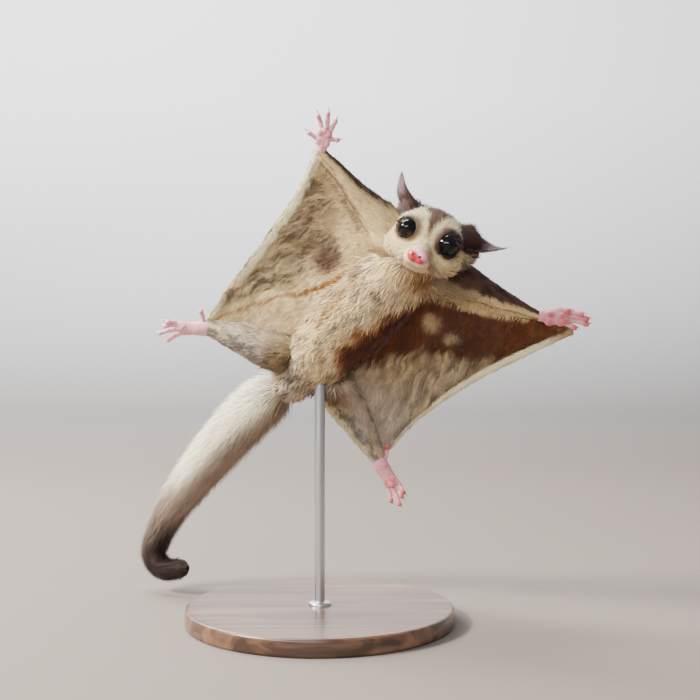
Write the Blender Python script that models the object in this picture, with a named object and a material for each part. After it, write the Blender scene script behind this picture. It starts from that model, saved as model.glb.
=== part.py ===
"""A sugar glider in full glide, life size, held up by a plain display stand.

Lengths are in millimetres and become metres where a mesh is made. The body frame has +X
to the animal's right, +Y towards its head and +Z out of its back. The head frame has +X
to its right, +Y along the snout and +Z out of the crown. The origin of the whole is the
middle of the stand's underside.
"""
import math
import random

import bmesh
import bpy
import numpy as np
from mathutils import Euler, Matrix, Vector

MM = 0.001
GAP = 0.3
WELD = 0.00001

# Where the glider hangs over its stand, and how it banks: pitch, roll and yaw in degrees
BODY_AT = (21.4, -15.2, 139.5)
BODY_PITCH = 35.0
BODY_ROLL = -43.0
BODY_YAW = -131.0

# The head on the body: place, and turn about the body's X, Y and Z in degrees
HEAD_AT = (8.8, 52.1, -5.0)
HEAD_TURN = (-64.7, -10.4, -23.4)

# Neck and trunk from head to rump: x, y, z, half width, half height
TRUNK = (
    (3.0, 51.0, 7.0, 14.0, 11.0),
    (4.0, 41.0, 4.0, 14.5, 12.5),
    (4.8, 31.0, 1.5, 16.0, 14.0),
    (4.8, 14.0, -0.5, 17.5, 15.0),
    (4.4, -5.0, -1.5, 18.5, 15.5),
    (3.5, -24.0, -1.0, 17.0, 14.5),
    (2.4, -42.0, 1.0, 13.5, 12.5),
    (2.2, -55.0, 3.1, 11.2, 11.0),
    (2.3, -61.0, 3.8, 10.0, 10.0),
)
RUMP_ROUND = 5.0
NECK_LENGTH = 12.0
TRUNK_SIDES = 24

# Tail out to the tips of its fur: x, y, z, half width, half height
TAIL = (
    (2.4, -61.4, 3.9, 11.0, 11.0),
    (3.1, -70.0, 4.4, 12.3, 12.3),
    (4.2, -86.0, 3.8, 12.6, 12.6),
    (4.2, -107.0, 0.8, 12.2, 12.2),
    (3.4, -129.0, -3.6, 11.0, 11.0),
    (2.0, -150.0, -8.4, 9.4, 9.4),
    (-0.8, -168.0, -14.6, 8.0, 8.0),
    (-5.2, -179.0, -23.0, 7.0, 7.0),
    (-12.0, -177.4, -30.2, 6.2, 6.2),
    (-19.5, -164.0, -33.6, 4.8, 4.8),
)
TAIL_LENGTHS = 4
CORE_SHARE = 0.5
CORE_SIDES = 10
CORE_END = 7.0

# Locks of the tail: locks in a row, and their reach, spacing and thickness, which go by
# the tail's own radius
LOCKS_IN_ROW = 6
LOCK_REACH = 2.0
LOCK_SPACING = 1.4
LOCK_FIRST = 1.2
LOCK_LAST = 0.85
LOCK_COVER = 0.6
LOCK_THICK = 0.095
LOCK_STATIONS = ((0.0, 0.45), (0.36, 1.0), (0.78, 0.72))
LOCK_SEED = 10

# Arms from shoulder to wrist, legs from hip to ankle: x, y, z, half width, half height
RIGHT_ARM = (
    (13.0, 37.0, 2.0, 10.5, 9.5),
    (23.0, 42.5, 2.6, 9.5, 7.5),
    (35.0, 45.0, 3.0, 6.8, 5.2),
    (45.0, 46.8, 3.2, 4.8, 4.0),
    (56.0, 49.6, 3.4, 3.0, 2.8),
    (64.6, 50.8, 3.6, 2.3, 2.2),
    (67.2, 53.0, 4.0, 2.2, 2.1),
)
LEFT_ARM = (
    (-3.0, 34.0, 2.0, 10.5, 9.5),
    (-15.0, 42.0, 3.0, 9.8, 7.5),
    (-27.0, 45.0, 4.0, 7.4, 5.4),
    (-37.0, 47.4, 4.4, 5.6, 4.2),
    (-47.0, 50.0, 4.8, 3.8, 3.0),
    (-55.0, 52.2, 5.0, 2.6, 2.3),
    (-58.0, 54.2, 5.3, 2.3, 2.1),
)
RIGHT_LEG = (
    (10.0, -39.0, 0.0, 10.5, 9.5),
    (24.0, -45.5, 0.5, 9.5, 8.0),
    (36.0, -50.0, 1.2, 7.8, 6.2),
    (45.0, -54.0, 1.8, 5.6, 4.6),
    (51.0, -56.6, 2.0, 4.0, 3.6),
)
LEFT_LEG = (
    (-6.0, -38.0, 0.0, 10.5, 9.5),
    (-20.0, -43.5, 0.3, 9.6, 8.0),
    (-33.0, -49.6, 0.2, 8.2, 6.4),
    (-46.0, -55.6, -0.2, 6.2, 4.8),
    (-57.2, -60.5, -1.0, 4.2, 3.6),
)
ARM_SIDES = 14
LEG_SIDES = 16
ELBOW_SHARE = 0.5
KNEE_SHARE = 0.52

# Hands and feet: the wrist or ankle, the way the digits point, how far they fan out, and
# the angle of the thumb or big toe in degrees
RIGHT_HAND = ((66.6, 52.2, 3.9), (0.51, 0.84, 0.15), 1.0, -44.0)
LEFT_HAND = ((-57.8, 54.0, 5.3), (-0.82, 0.56, 0.06), 0.45, -20.0)
RIGHT_FOOT = ((50.6, -56.6, 1.9), (0.75, -0.64, -0.155), 1.0, -88.0)
LEFT_FOOT = ((-57.8, -60.7, -1.6), (-0.87, -0.22, -0.44), 0.7, -140.0)

# Palm and sole: distance from the wrist or ankle, height, half width, half thickness
PALM = ((-1.5, 0.0, 2.0, 1.9), (2.0, 0.0, 2.6, 1.8), (5.0, 0.1, 3.3, 1.6), (8.0, 0.0, 3.0, 1.1))
SOLE = ((-2.0, 0.0, 3.2, 3.0), (2.0, -0.6, 3.4, 2.7), (7.0, -0.2, 3.3, 2.0), (12.4, 0.0, 3.8, 1.3))

# Digits, thumb or big toe first: knuckle across, knuckle along, fan angle, length, clawed
HAND_DIGITS = (
    (-2.0, 2.6, 0.0, 5.8, True),
    (-2.0, 6.0, -20.0, 7.0, True),
    (-0.8, 7.0, -5.0, 8.2, True),
    (0.8, 7.0, 9.0, 8.6, True),
    (2.1, 5.2, 34.0, 6.8, True),
)
FOOT_DIGITS = (
    (-2.2, 1.2, 0.0, 7.6, False),
    (-2.3, 10.4, -12.0, 6.8, True),
    (-1.0, 11.2, -5.0, 7.2, True),
    (0.8, 11.6, 6.0, 9.4, True),
    (2.4, 10.4, 22.0, 8.2, True),
)
DIGIT_RADIUS = 0.95
PAD_RADIUS = 1.15
CLAW_LENGTH = 1.8
CLAW_RADIUS = 0.5

# Gliding membranes: the free edge from hand to foot, and the flank line they spring from
RIGHT_EDGE = (
    (67.0, 47.5, 4.2),
    (59.6, 22.0, 10.6),
    (55.9, -6.0, 12.2),
    (54.0, -32.0, 10.8),
    (52.5, -51.0, 5.6),
)
LEFT_EDGE = (
    (-73.0, 56.6, 6.2),
    (-68.4, 32.3, 10.2),
    (-61.8, -1.3, 13.0),
    (-57.8, -33.9, 10.2),
    (-58.6, -54.0, 4.6),
)
RIGHT_FLANK = ((17.0, 36.0, 3.0), (18.5, 0.0, 2.5), (14.0, -38.0, 2.0))
LEFT_FLANK = ((-6.0, 34.0, 3.0), (-9.5, 0.0, 2.5), (-8.0, -38.0, 2.0))
MEMBRANE_THICK = 1.8
FRINGE_THICK = 2.8
FRINGE_SHARE = 0.10
MEMBRANE_BILLOW = 5.0
MEMBRANE_ROWS = 16
MEMBRANE_COLUMNS = 9

# Forms of the head in its own frame: centre, then radii
CRANIUM = ((0.0, -4.0, 2.0), (16.0, 15.0, 12.8))
CHEEK = ((9.8, 2.0, -5.0), (8.6, 9.0, 8.0))
BROW = ((7.6, 4.5, 4.4), (6.6, 6.0, 5.2))
MUZZLE = ((0.0, 12.0, -4.8), (5.8, 10.6, 5.2))
JAW = ((0.0, 7.5, -8.8), (6.4, 11.0, 4.4))
HEAD_BLEND = 3.5
HEAD_TILT = 0.2
HEAD_RINGS = 23
HEAD_SIDES = 28

EYE_AT = (9.3, 6.6, 2.8)
EYE_RADIUS = 4.5
EYE_LOOK = (0.60, 0.78, 0.18)
LID_FORWARD = 1.5
LID_RADIUS = 0.95

NOSE_AT = (0.0, 22.2, -4.2)
NOSE_RADII = (2.9, 2.3, 2.2)
NOSTRIL_AT = (1.35, 24.4, -4.5)
NOSTRIL_RADIUS = 0.5

MOUTH_HALF_WIDTH = 5.6
MOUTH_BACK = 9.0
MOUTH_FRONT = 20.5
MOUTH_HEIGHT = -8.0
LIP_RADIUS = 0.85
MOUTH_RADIUS = 0.35

# Ears: root, way of the tip, way the cup opens, all in the head frame
RIGHT_EAR = ((10.6, -4.5, 9.6), (0.66, -0.36, 0.66), (0.30, 0.90, 0.10))
LEFT_EAR = ((-16.0, -4.5, 5.8), (-0.93, -0.30, 0.22), (-0.10, 0.85, -0.50))
EAR_LENGTH = 18.5
EAR_WIDTH = 13.0
EAR_THICK = 0.9
EAR_BEND = 2.2
EAR_TWIST = 62.0
EAR_ROWS = 9
EAR_COLUMNS = 6

# Display stand
BASE_RADIUS = 62.0
BASE_HEIGHT = 8.0
BASE_BEVEL = 1.5
ROD_RADIUS = 2.4
ROD_SOCKET = 5.0
ROD_TOP = 113.0

CREAM = (0.72, 0.58, 0.42)
TAWNY = (0.52, 0.38, 0.26)
GREY_FUR = (0.40, 0.33, 0.28)
TAIL_FUR = (0.62, 0.53, 0.45)
TAIL_DARK = (0.10, 0.05, 0.03)
PINK = (0.86, 0.52, 0.52)
EAR_SKIN = (0.30, 0.22, 0.22)
EYE_BLACK = (0.01, 0.01, 0.012)
WALNUT = (0.20, 0.10, 0.05)
STEEL = (0.62, 0.63, 0.65)


def clear_scene():
    for obj in list(bpy.data.objects):
        bpy.data.objects.remove(obj, do_unlink=True)


def material(name, color, roughness=0.8, metallic=0.0):
    found = bpy.data.materials.get(name)
    if found:
        return found
    made = bpy.data.materials.new(name)
    made.use_nodes = True
    shader = made.node_tree.nodes["Principled BSDF"]
    shader.inputs["Base Color"].default_value = (*color, 1.0)
    shader.inputs["Roughness"].default_value = roughness
    shader.inputs["Metallic"].default_value = metallic
    return made


def face_outward(shell):
    """Turns every face of a closed surface so that it points out."""
    bmesh.ops.recalc_face_normals(shell, faces=shell.faces)
    if shell.calc_volume(signed=True) < 0:
        bmesh.ops.reverse_faces(shell, faces=shell.faces)


def add_object(name, verts, faces, look, parent=None):
    """One closed smooth object from points in millimetres."""
    mesh = bpy.data.meshes.new(name)
    mesh.from_pydata([tuple(float(c) * MM for c in v) for v in verts], [], faces)
    shell = bmesh.new()
    shell.from_mesh(mesh)
    face_outward(shell)
    shell.to_mesh(mesh)
    shell.free()
    mesh.shade_smooth()
    mesh.materials.append(look)
    obj = bpy.data.objects.new(name, mesh)
    bpy.context.collection.objects.link(obj)
    obj.parent = parent
    return obj


def unit(vector):
    v = np.asarray(vector, dtype=float)
    return v / np.linalg.norm(v)


def spline(knots, per_span=16):
    """Rows sampled from a smooth curve that passes through every knot."""
    k = np.asarray(knots, dtype=float)
    k = np.vstack([2 * k[0] - k[1], k, 2 * k[-1] - k[-2]])
    rows = []
    for a, b, c, d in zip(k[:-3], k[1:-2], k[2:-1], k[3:]):
        for t in np.linspace(0, 1, per_span, endpoint=False):
            bend = (2 * a - 5 * b + 4 * c - d) * t ** 2 + (3 * b - a - 3 * c + d) * t ** 3
            rows.append(0.5 * (2 * b + (c - a) * t + bend))
    rows.append(k[-2])
    return np.array(rows)


class Form:
    """A tapering form along a smooth curve, with round ends where they are asked for."""

    def __init__(self, knots, up=(0, 0, 1), round_start=0.0, round_end=0.0):
        self.rows = spline(knots)
        steps = np.linalg.norm(np.diff(self.rows[:, :3], axis=0), axis=1)
        self.along = np.concatenate([[0.0], np.cumsum(steps)])
        self.length = self.along[-1]
        self.up = unit(up)
        self.round_start = round_start
        self.round_end = round_end

    def row(self, s):
        return np.array([np.interp(s, self.along, column) for column in self.rows.T])

    def frame(self, s):
        """Centre, side and up at a distance along the curve."""
        reach = 0.4
        low = max(s - reach, 0.0)
        high = min(s + reach, self.length)
        ahead = unit(self.row(high)[:3] - self.row(low)[:3])
        side = unit(np.cross(ahead, self.up))
        return self.row(s)[:3], side, np.cross(side, ahead)

    def fullness(self, s):
        share = 1.0
        for reach, depth in ((self.round_start, s), (self.round_end, self.length - s)):
            if reach > 0.0 and depth < reach:
                share *= math.sqrt(max(1.0 - (1.0 - depth / reach) ** 2, 0.0))
        return share

    def ring(self, s, sides):
        centre, side, up = self.frame(s)
        half_width, half_height = self.row(s)[3:5] * self.fullness(s)
        turns = np.linspace(0, 2 * math.pi, sides, endpoint=False)
        return [centre + side * half_width * math.cos(a) + up * half_height * math.sin(a)
                for a in turns]

    def stops(self, start, end, step):
        """Distances for the rings, closer together at a round end."""
        first = max(start, self.round_start)
        last = min(end, self.length - self.round_end)
        count = max(2, int(round((last - first) / step)) + 1)
        stops = list(np.linspace(first, last, count))
        dome = [1 - math.cos(math.radians(a)) for a in (22, 54)]
        if start < self.round_start:
            stops = [self.round_start * d for d in dome] + stops
        if end > self.length - self.round_end:
            stops += [self.length - self.round_end * d for d in reversed(dome)]
        return stops

    def loft(self, name, sides, step, look, parent, start=0.0, end=None):
        """The stretch between two distances as one closed object."""
        end = self.length if end is None else end
        stops = self.stops(start, end, step)
        verts = []
        faces = []
        for s in stops:
            verts += self.ring(s, sides)
        for r in range(len(stops) - 1):
            for i in range(sides):
                j = (i + 1) % sides
                low, high = r * sides, (r + 1) * sides
                faces.append((low + i, low + j, high + j, high + i))
        first = len(verts)
        verts += [self.row(start)[:3], self.row(end)[:3]]
        last_ring = (len(stops) - 1) * sides
        for i in range(sides):
            j = (i + 1) % sides
            faces.append((first, j, i))
            faces.append((first + 1, last_ring + i, last_ring + j))
        return add_object(name, verts, faces, look, parent)


def grown(obj, by=GAP):
    """A hidden copy of an object, swollen by a gap, to cut its neighbours with."""
    copy = obj.copy()
    copy.data = obj.data.copy()
    copy.name = obj.name + "_room"
    shell = bmesh.new()
    shell.from_mesh(copy.data)
    face_outward(shell)
    moves = [v.normal * by * MM * v.calc_shell_factor() for v in shell.verts]
    for vert, move in zip(shell.verts, moves):
        vert.co += move
    shell.to_mesh(copy.data)
    shell.free()
    bpy.context.collection.objects.link(copy)
    hide(copy)
    return copy


def hide(obj):
    obj.hide_render = True
    obj.display_type = "WIRE"


def keep_largest(mesh):
    """Keeps the closed surface with the most room in it and drops loose scraps."""
    shell = bmesh.new()
    shell.from_mesh(mesh)
    bmesh.ops.remove_doubles(shell, verts=shell.verts, dist=WELD)
    left = set(shell.faces)
    groups = []
    while left:
        group = {left.pop()}
        edge_of_group = list(group)
        while edge_of_group:
            face = edge_of_group.pop()
            for edge in face.edges:
                for other in edge.link_faces:
                    if other in left:
                        left.remove(other)
                        group.add(other)
                        edge_of_group.append(other)
        groups.append(group)

    def room(group):
        total = 0.0
        for face in group:
            points = [v.co for v in face.verts]
            for b, c in zip(points[1:], points[2:]):
                total += points[0].dot(b.cross(c)) / 6
        return abs(total)

    groups.sort(key=room, reverse=True)
    scraps = [face for group in groups[1:] for face in group]
    bmesh.ops.delete(shell, geom=scraps, context="FACES")
    loose = [v for v in shell.verts if not v.link_faces]
    bmesh.ops.delete(shell, geom=loose, context="VERTS")
    shell.to_mesh(mesh)
    shell.free()


def settle(obj):
    """Applies an object's modifiers and keeps its largest closed surface."""
    bpy.context.view_layer.update()
    seen = obj.evaluated_get(bpy.context.evaluated_depsgraph_get())
    mesh = bpy.data.meshes.new_from_object(seen)
    obj.modifiers.clear()
    obj.data = mesh
    keep_largest(mesh)
    mesh.shade_smooth()
    mesh.set_sharp_from_angle(angle=math.radians(50))
    return obj


def cut(obj, cutters, solver="EXACT"):
    """Takes away from an object the room that its neighbours need."""
    for cutter in cutters:
        away = obj.modifiers.new("room", "BOOLEAN")
        away.operation = "DIFFERENCE"
        away.solver = solver
        away.object = cutter
    return settle(obj)


def fuse(obj, pieces, solver="EXACT"):
    """Joins pieces to an object as one closed body."""
    group = bpy.data.collections.new(obj.name + "_pieces")
    bpy.context.scene.collection.children.link(group)
    for piece in pieces:
        bpy.context.collection.objects.unlink(piece)
        group.objects.link(piece)
    join = obj.modifiers.new("join", "BOOLEAN")
    join.operation = "UNION"
    join.operand_type = "COLLECTION"
    join.solver = solver
    join.collection = group
    settle(obj)
    for piece in pieces:
        bpy.data.objects.remove(piece, do_unlink=True)
    bpy.data.collections.remove(group)
    return obj


def add_empty(name, parent=None):
    empty = bpy.data.objects.new(name, None)
    bpy.context.collection.objects.link(empty)
    empty.parent = parent
    return empty


def limb_pair(path, names, share, sides, look, parent, step=5.0):
    """An arm or a leg as an upper and a lower piece that meet face to face."""
    joint = path.length * share
    upper = path.loft(names[0], sides, step, look, parent, 0.0, joint - GAP / 2)
    lower = path.loft(names[1], sides, step, look, parent, joint + GAP / 2)
    return upper, lower


def paw_frame(pointing):
    """Turns a hand's own axes: +Y along the digits and +Z out of its back."""
    ahead = Vector(pointing).normalized()
    side = ahead.cross(Vector((0, 0, 1))).normalized()
    back = side.cross(ahead)
    return Matrix((side, ahead, back)).transposed().to_euler()


def paw(name, setting, side, palm, digits, look, parent):
    """A hand or foot: a flat palm, five padded digits and their curved claws."""
    place, pointing, fan, thumb_angle = setting
    holder = add_empty(name + "_place", parent)
    holder.location = Vector(place) * MM
    holder.rotation_euler = paw_frame(pointing)
    middle = [(0.0, y, z, half_width, half_height) for y, z, half_width, half_height in palm]
    body = Form(middle, round_end=palm[-1][3]).loft(name, 8, 3.2, look, holder)
    pieces = []
    for number, (across, along, angle, length, clawed) in enumerate(digits):
        turn = math.radians(angle * fan if number else thumb_angle) * side
        way = np.array([math.sin(turn), math.cos(turn), 0.0])
        root = np.array([across * side, along, 0.0])
        knots = (
            (*(root - way * 1.6), DIGIT_RADIUS, DIGIT_RADIUS),
            (*(root + way * length * 0.40 + (0, 0, 0.5)), DIGIT_RADIUS, DIGIT_RADIUS),
            (*(root + way * (length - 0.7) + (0, 0, -0.5)), PAD_RADIUS, PAD_RADIUS),
            (*(root + way * (length + 0.5) + (0, 0, -0.7)), PAD_RADIUS * 0.8, PAD_RADIUS * 0.8),
        )
        digit = Form(knots, round_end=1.1)
        pieces.append(digit.loft(f"{name}_digit_{number}", 5, 3.6, look, holder))
        if not clawed:
            continue
        tip = root + way * length + (0, 0, -0.2)
        hook = (
            (*(tip - way * 0.8), CLAW_RADIUS, CLAW_RADIUS),
            (*(tip + way * CLAW_LENGTH * 0.55 + (0, 0, 0.1)), CLAW_RADIUS * 0.8, CLAW_RADIUS * 0.8),
            (*(tip + way * CLAW_LENGTH + (0, 0, -0.8)), CLAW_RADIUS * 0.3, CLAW_RADIUS * 0.3),
        )
        pieces.append(Form(hook).loft(f"{name}_claw_{number}", 4, 1.3, look, holder))
    return fuse(body, pieces)


def soft_join(values, blend):
    """The smooth union of several distance fields."""
    joined = values[0]
    for value in values[1:]:
        mix = np.clip(0.5 + 0.5 * (joined - value) / blend, 0, 1)
        joined = joined * (1 - mix) + value * mix - blend * mix * (1 - mix)
    return joined


def head_field(points):
    """Distance to the surface of the bare head, less than zero inside it."""
    forms = [CRANIUM, MUZZLE, JAW]
    for (x, y, z), radii in (CHEEK, BROW):
        forms += [((x, y, z), radii), ((-x, y, z), radii)]
    fields = []
    for centre, radii in forms:
        radii = np.array(radii)
        scaled = (points - np.array(centre)) / radii
        length = np.linalg.norm(scaled, axis=-1)
        slope = np.linalg.norm(scaled / radii, axis=-1)
        fields.append(length * (length - 1) / np.maximum(slope, 1e-9))
    return soft_join(fields, HEAD_BLEND)


def on_head(way, lift=0.0):
    """The point where a ray from the middle of the head leaves its surface."""
    reach = np.linspace(0, 40, 801)
    values = head_field(unit(way) * reach[:, None])
    inside = np.nonzero(values < 0)[0][-1]
    share = values[inside] / (values[inside] - values[inside + 1])
    distance = reach[inside] + share * (reach[1] - reach[0])
    return unit(way) * (distance + lift)


def bare_head(look, parent):
    """The head's own form, with its rings closest together round the muzzle."""
    verts = []
    faces = []
    for r in range(HEAD_RINGS):
        share = (r + 1) / (HEAD_RINGS + 1)
        polar = math.pi * (0.62 * share + 0.38 * share ** 2.2)
        for i in range(HEAD_SIDES):
            turn = 2 * math.pi * i / HEAD_SIDES
            flat = math.sin(polar)
            way = (flat * math.cos(turn), math.cos(polar), flat * math.sin(turn) - HEAD_TILT)
            verts.append(on_head(way))
    for r in range(HEAD_RINGS - 1):
        for i in range(HEAD_SIDES):
            j = (i + 1) % HEAD_SIDES
            low, high = r * HEAD_SIDES, (r + 1) * HEAD_SIDES
            faces.append((low + i, low + j, high + j, high + i))
    front = len(verts)
    verts += [on_head((0, 1, -HEAD_TILT)), on_head((0, -1, -HEAD_TILT))]
    last_ring = (HEAD_RINGS - 1) * HEAD_SIDES
    for i in range(HEAD_SIDES):
        j = (i + 1) % HEAD_SIDES
        faces.append((front, j, i))
        faces.append((front + 1, last_ring + i, last_ring + j))
    return add_object("head", verts, faces, look, parent)


def ball(name, centre, radii, look, parent, segments=20, rings=12):
    """An ellipsoid whose poles point along its Y axis."""
    verts = []
    faces = []
    for r in range(1, rings):
        polar = math.pi * r / rings
        for i in range(segments):
            turn = 2 * math.pi * i / segments
            way = np.array([math.sin(polar) * math.cos(turn), math.cos(polar),
                            math.sin(polar) * math.sin(turn)])
            verts.append(np.array(centre) + way * radii)
    for r in range(rings - 2):
        for i in range(segments):
            j = (i + 1) % segments
            low, high = r * segments, (r + 1) * segments
            faces.append((low + i, low + j, high + j, high + i))
    pole = len(verts)
    verts += [np.array(centre) + (0, radii[1], 0), np.array(centre) - (0, radii[1], 0)]
    last_ring = (rings - 2) * segments
    for i in range(segments):
        j = (i + 1) % segments
        faces.append((pole, j, i))
        faces.append((pole + 1, last_ring + i, last_ring + j))
    return add_object(name, verts, faces, look, parent)


def lid_ring(name, side, look, parent, sides=6, steps=16):
    """The rim of the lids round one eye."""
    look_way = unit((EYE_LOOK[0] * side, EYE_LOOK[1], EYE_LOOK[2]))
    across = unit(np.cross(look_way, (0, 0, 1)))
    upward = np.cross(across, look_way)
    centre = np.array([EYE_AT[0] * side, EYE_AT[1], EYE_AT[2]]) + look_way * LID_FORWARD
    around = math.sqrt(EYE_RADIUS ** 2 - LID_FORWARD ** 2) + 0.2
    verts = []
    faces = []
    for i in range(steps):
        a = 2 * math.pi * i / steps
        out = across * math.cos(a) + upward * math.sin(a)
        for k in range(sides):
            b = 2 * math.pi * k / sides
            offset = out * (around + LID_RADIUS * math.cos(b)) + look_way * LID_RADIUS * math.sin(b)
            verts.append(centre + offset)
    for i in range(steps):
        for k in range(sides):
            i2, k2 = (i + 1) % steps, (k + 1) % sides
            faces.append((i * sides + k, i2 * sides + k, i2 * sides + k2, i * sides + k2))
    return add_object(name, verts, faces, look, parent)


def mouth_points(count=9):
    """The line of the mouth, from corner to corner round the muzzle, on the skin."""
    points = []
    for t in np.linspace(-1, 1, count):
        along = MOUTH_BACK + (MOUTH_FRONT - MOUTH_BACK) * math.cos(t * math.pi / 2) ** 0.8
        across = MOUTH_HALF_WIDTH * math.sin(t * math.pi / 2)
        points.append(on_head((across, along, MOUTH_HEIGHT)))
    return points


def ear(name, setting, side, look, parent):
    """A thin cupped leaf, rolled at its root and drawn out to a soft tip."""
    root, way, opening = setting
    along = unit(way)
    first_out = unit(np.array(opening) - np.dot(opening, along) * along)
    first_across = np.cross(along, first_out)
    faces_of_shell = ([], [])
    for r in range(EAR_ROWS + 1):
        v = r / EAR_ROWS
        width = EAR_WIDTH * (1 - v) ** 0.85 * (1 + 0.3 * v) + 0.9
        roll = 1.9 * (1 - v) + 0.9
        radius = width / roll
        spine = np.array(root) + along * EAR_LENGTH * v - first_out * EAR_BEND * math.sin(math.pi * v)
        turn = math.radians(EAR_TWIST) * v * side
        out = first_out * math.cos(turn) + first_across * math.sin(turn)
        across = first_across * math.cos(turn) - first_out * math.sin(turn)
        for c in range(EAR_COLUMNS + 1):
            a = (2 * c / EAR_COLUMNS - 1) * roll / 2
            normal = out * math.cos(a) - across * math.sin(a)
            point = spine + out * radius - normal * radius
            thick = EAR_THICK * (1 - 0.35 * v)
            faces_of_shell[0].append(point + normal * thick / 2)
            faces_of_shell[1].append(point - normal * thick / 2)
    return thin_shell(name, faces_of_shell, EAR_ROWS, EAR_COLUMNS, look, parent)


def thin_shell(name, layers, rows, columns, look, parent):
    """Two like grids of points, split into triangles alike and closed all round."""
    wide = columns + 1
    count = (rows + 1) * wide
    faces = []
    for r in range(rows):
        for c in range(columns):
            a, b = r * wide + c, r * wide + c + 1
            d, e = a + wide, b + wide
            if (r + c) % 2:
                faces += [(a, b, d), (b, e, d)]
            else:
                faces += [(a, b, e), (a, e, d)]
    faces += [tuple(count + i for i in reversed(face)) for face in faces]
    rim = [c for c in range(wide)]
    rim += [r * wide + columns for r in range(1, rows + 1)]
    rim += [rows * wide + c for c in range(columns - 1, -1, -1)]
    rim += [r * wide for r in range(rows - 1, 0, -1)]
    for a, b in zip(rim, rim[1:] + rim[:1]):
        faces += [(a, count + a, count + b), (a, count + b, b)]
    return add_object(name, layers[0] + layers[1], faces, look, parent)


def curve_at(knots, share):
    """A point at a share of the length of the smooth curve through some knots."""
    rows = spline([knot[:3] for knot in knots])
    steps = np.linalg.norm(np.diff(rows, axis=0), axis=1)
    along = np.concatenate([[0.0], np.cumsum(steps)])
    return np.array([np.interp(share * along[-1], along, column) for column in rows.T])


def membrane(name, arm, leg, flank, edge, look, parent):
    """A gliding membrane stretched between arm, leg, flank and its own free edge."""
    arm_line = [flank[0], *arm[1:], edge[0]]
    leg_line = [flank[-1], *leg[1:], edge[-1]]
    middle = np.zeros((MEMBRANE_ROWS + 1, MEMBRANE_COLUMNS + 1, 3))
    for r in range(MEMBRANE_ROWS + 1):
        u = r / MEMBRANE_ROWS
        for c in range(MEMBRANE_COLUMNS + 1):
            v = math.sin(c / MEMBRANE_COLUMNS * math.pi / 2) ** 0.85
            between_lines = (1 - v) * curve_at(flank, u) + v * curve_at(edge, u)
            between_limbs = (1 - u) * curve_at(arm_line, v) + u * curve_at(leg_line, v)
            corners = (1 - u) * ((1 - v) * np.array(flank[0]) + v * np.array(edge[0]))
            corners += u * ((1 - v) * np.array(flank[-1]) + v * np.array(edge[-1]))
            rise = MEMBRANE_BILLOW * math.sin(math.pi * u) * math.sin(math.pi * min(v, 1.0))
            middle[r, c] = between_lines + between_limbs - corners + (0, 0, rise)
    across = np.gradient(middle, axis=1)
    down = np.gradient(middle, axis=0)
    normal = np.cross(across, down)
    normal /= np.linalg.norm(normal, axis=2, keepdims=True)
    layers = ([], [])
    for r in range(MEMBRANE_ROWS + 1):
        for c in range(MEMBRANE_COLUMNS + 1):
            v = math.sin(c / MEMBRANE_COLUMNS * math.pi / 2) ** 0.85
            swell = math.exp(-((1 - v) / FRINGE_SHARE) ** 2)
            thick = MEMBRANE_THICK + (FRINGE_THICK - MEMBRANE_THICK) * swell
            if c == MEMBRANE_COLUMNS:
                thick *= 0.5
            layers[0].append(middle[r, c] + normal[r, c] * thick / 2)
            layers[1].append(middle[r, c] - normal[r, c] * thick / 2)
    return thin_shell(name, layers, MEMBRANE_ROWS, MEMBRANE_COLUMNS, look, parent)


def build_trunk(body, fur):
    """Neck and torso, which are two stretches of one form."""
    path = Form(TRUNK, round_end=RUMP_ROUND)
    neck = path.loft("neck", TRUNK_SIDES, 4.0, fur, body, 0.0, NECK_LENGTH - GAP / 2)
    torso = path.loft("torso", TRUNK_SIDES, 9.0, fur, body, NECK_LENGTH + GAP / 2)
    return neck, torso


def tail_lock(name, path, start, turn, reach, drift, look, parent):
    """A flat tapered lock that leaves the core, bends and lies back along the tail."""
    def spot(share, across=0.0, out=0.0):
        s = start + reach * share
        centre, side, up = path.frame(s)
        full = path.row(s)[3] * path.fullness(s)
        root = CORE_SHARE * full * 0.55
        radius = root + (full * 0.97 - root) * math.sqrt(share) + out
        angle = turn + drift * share ** 2 + across / max(radius, 1.0)
        return centre + side * radius * math.cos(angle) + up * radius * math.sin(angle)

    radius_here = path.row(start + reach / 2)[3]
    wide = LOCK_COVER * 2 * math.pi * radius_here / LOCKS_IN_ROW
    thick = LOCK_THICK * radius_here
    verts = []
    faces = []
    for share, spread in LOCK_STATIONS:
        half = wide * spread / 2
        verts += [spot(share, half), spot(share, 0, thick), spot(share, -half)]
    for r in range(len(LOCK_STATIONS) - 1):
        for i in range(3):
            j = (i + 1) % 3
            faces.append((3 * r + i, 3 * r + j, 3 * r + 3 + j, 3 * r + 3 + i))
    tip = len(verts)
    verts.append(spot(1.0))
    faces.append((2, 1, 0))
    faces += [(tip - 3 + i, tip - 3 + (i + 1) % 3, tip) for i in range(3)]
    return add_object(name, verts, faces, look, parent)


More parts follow.
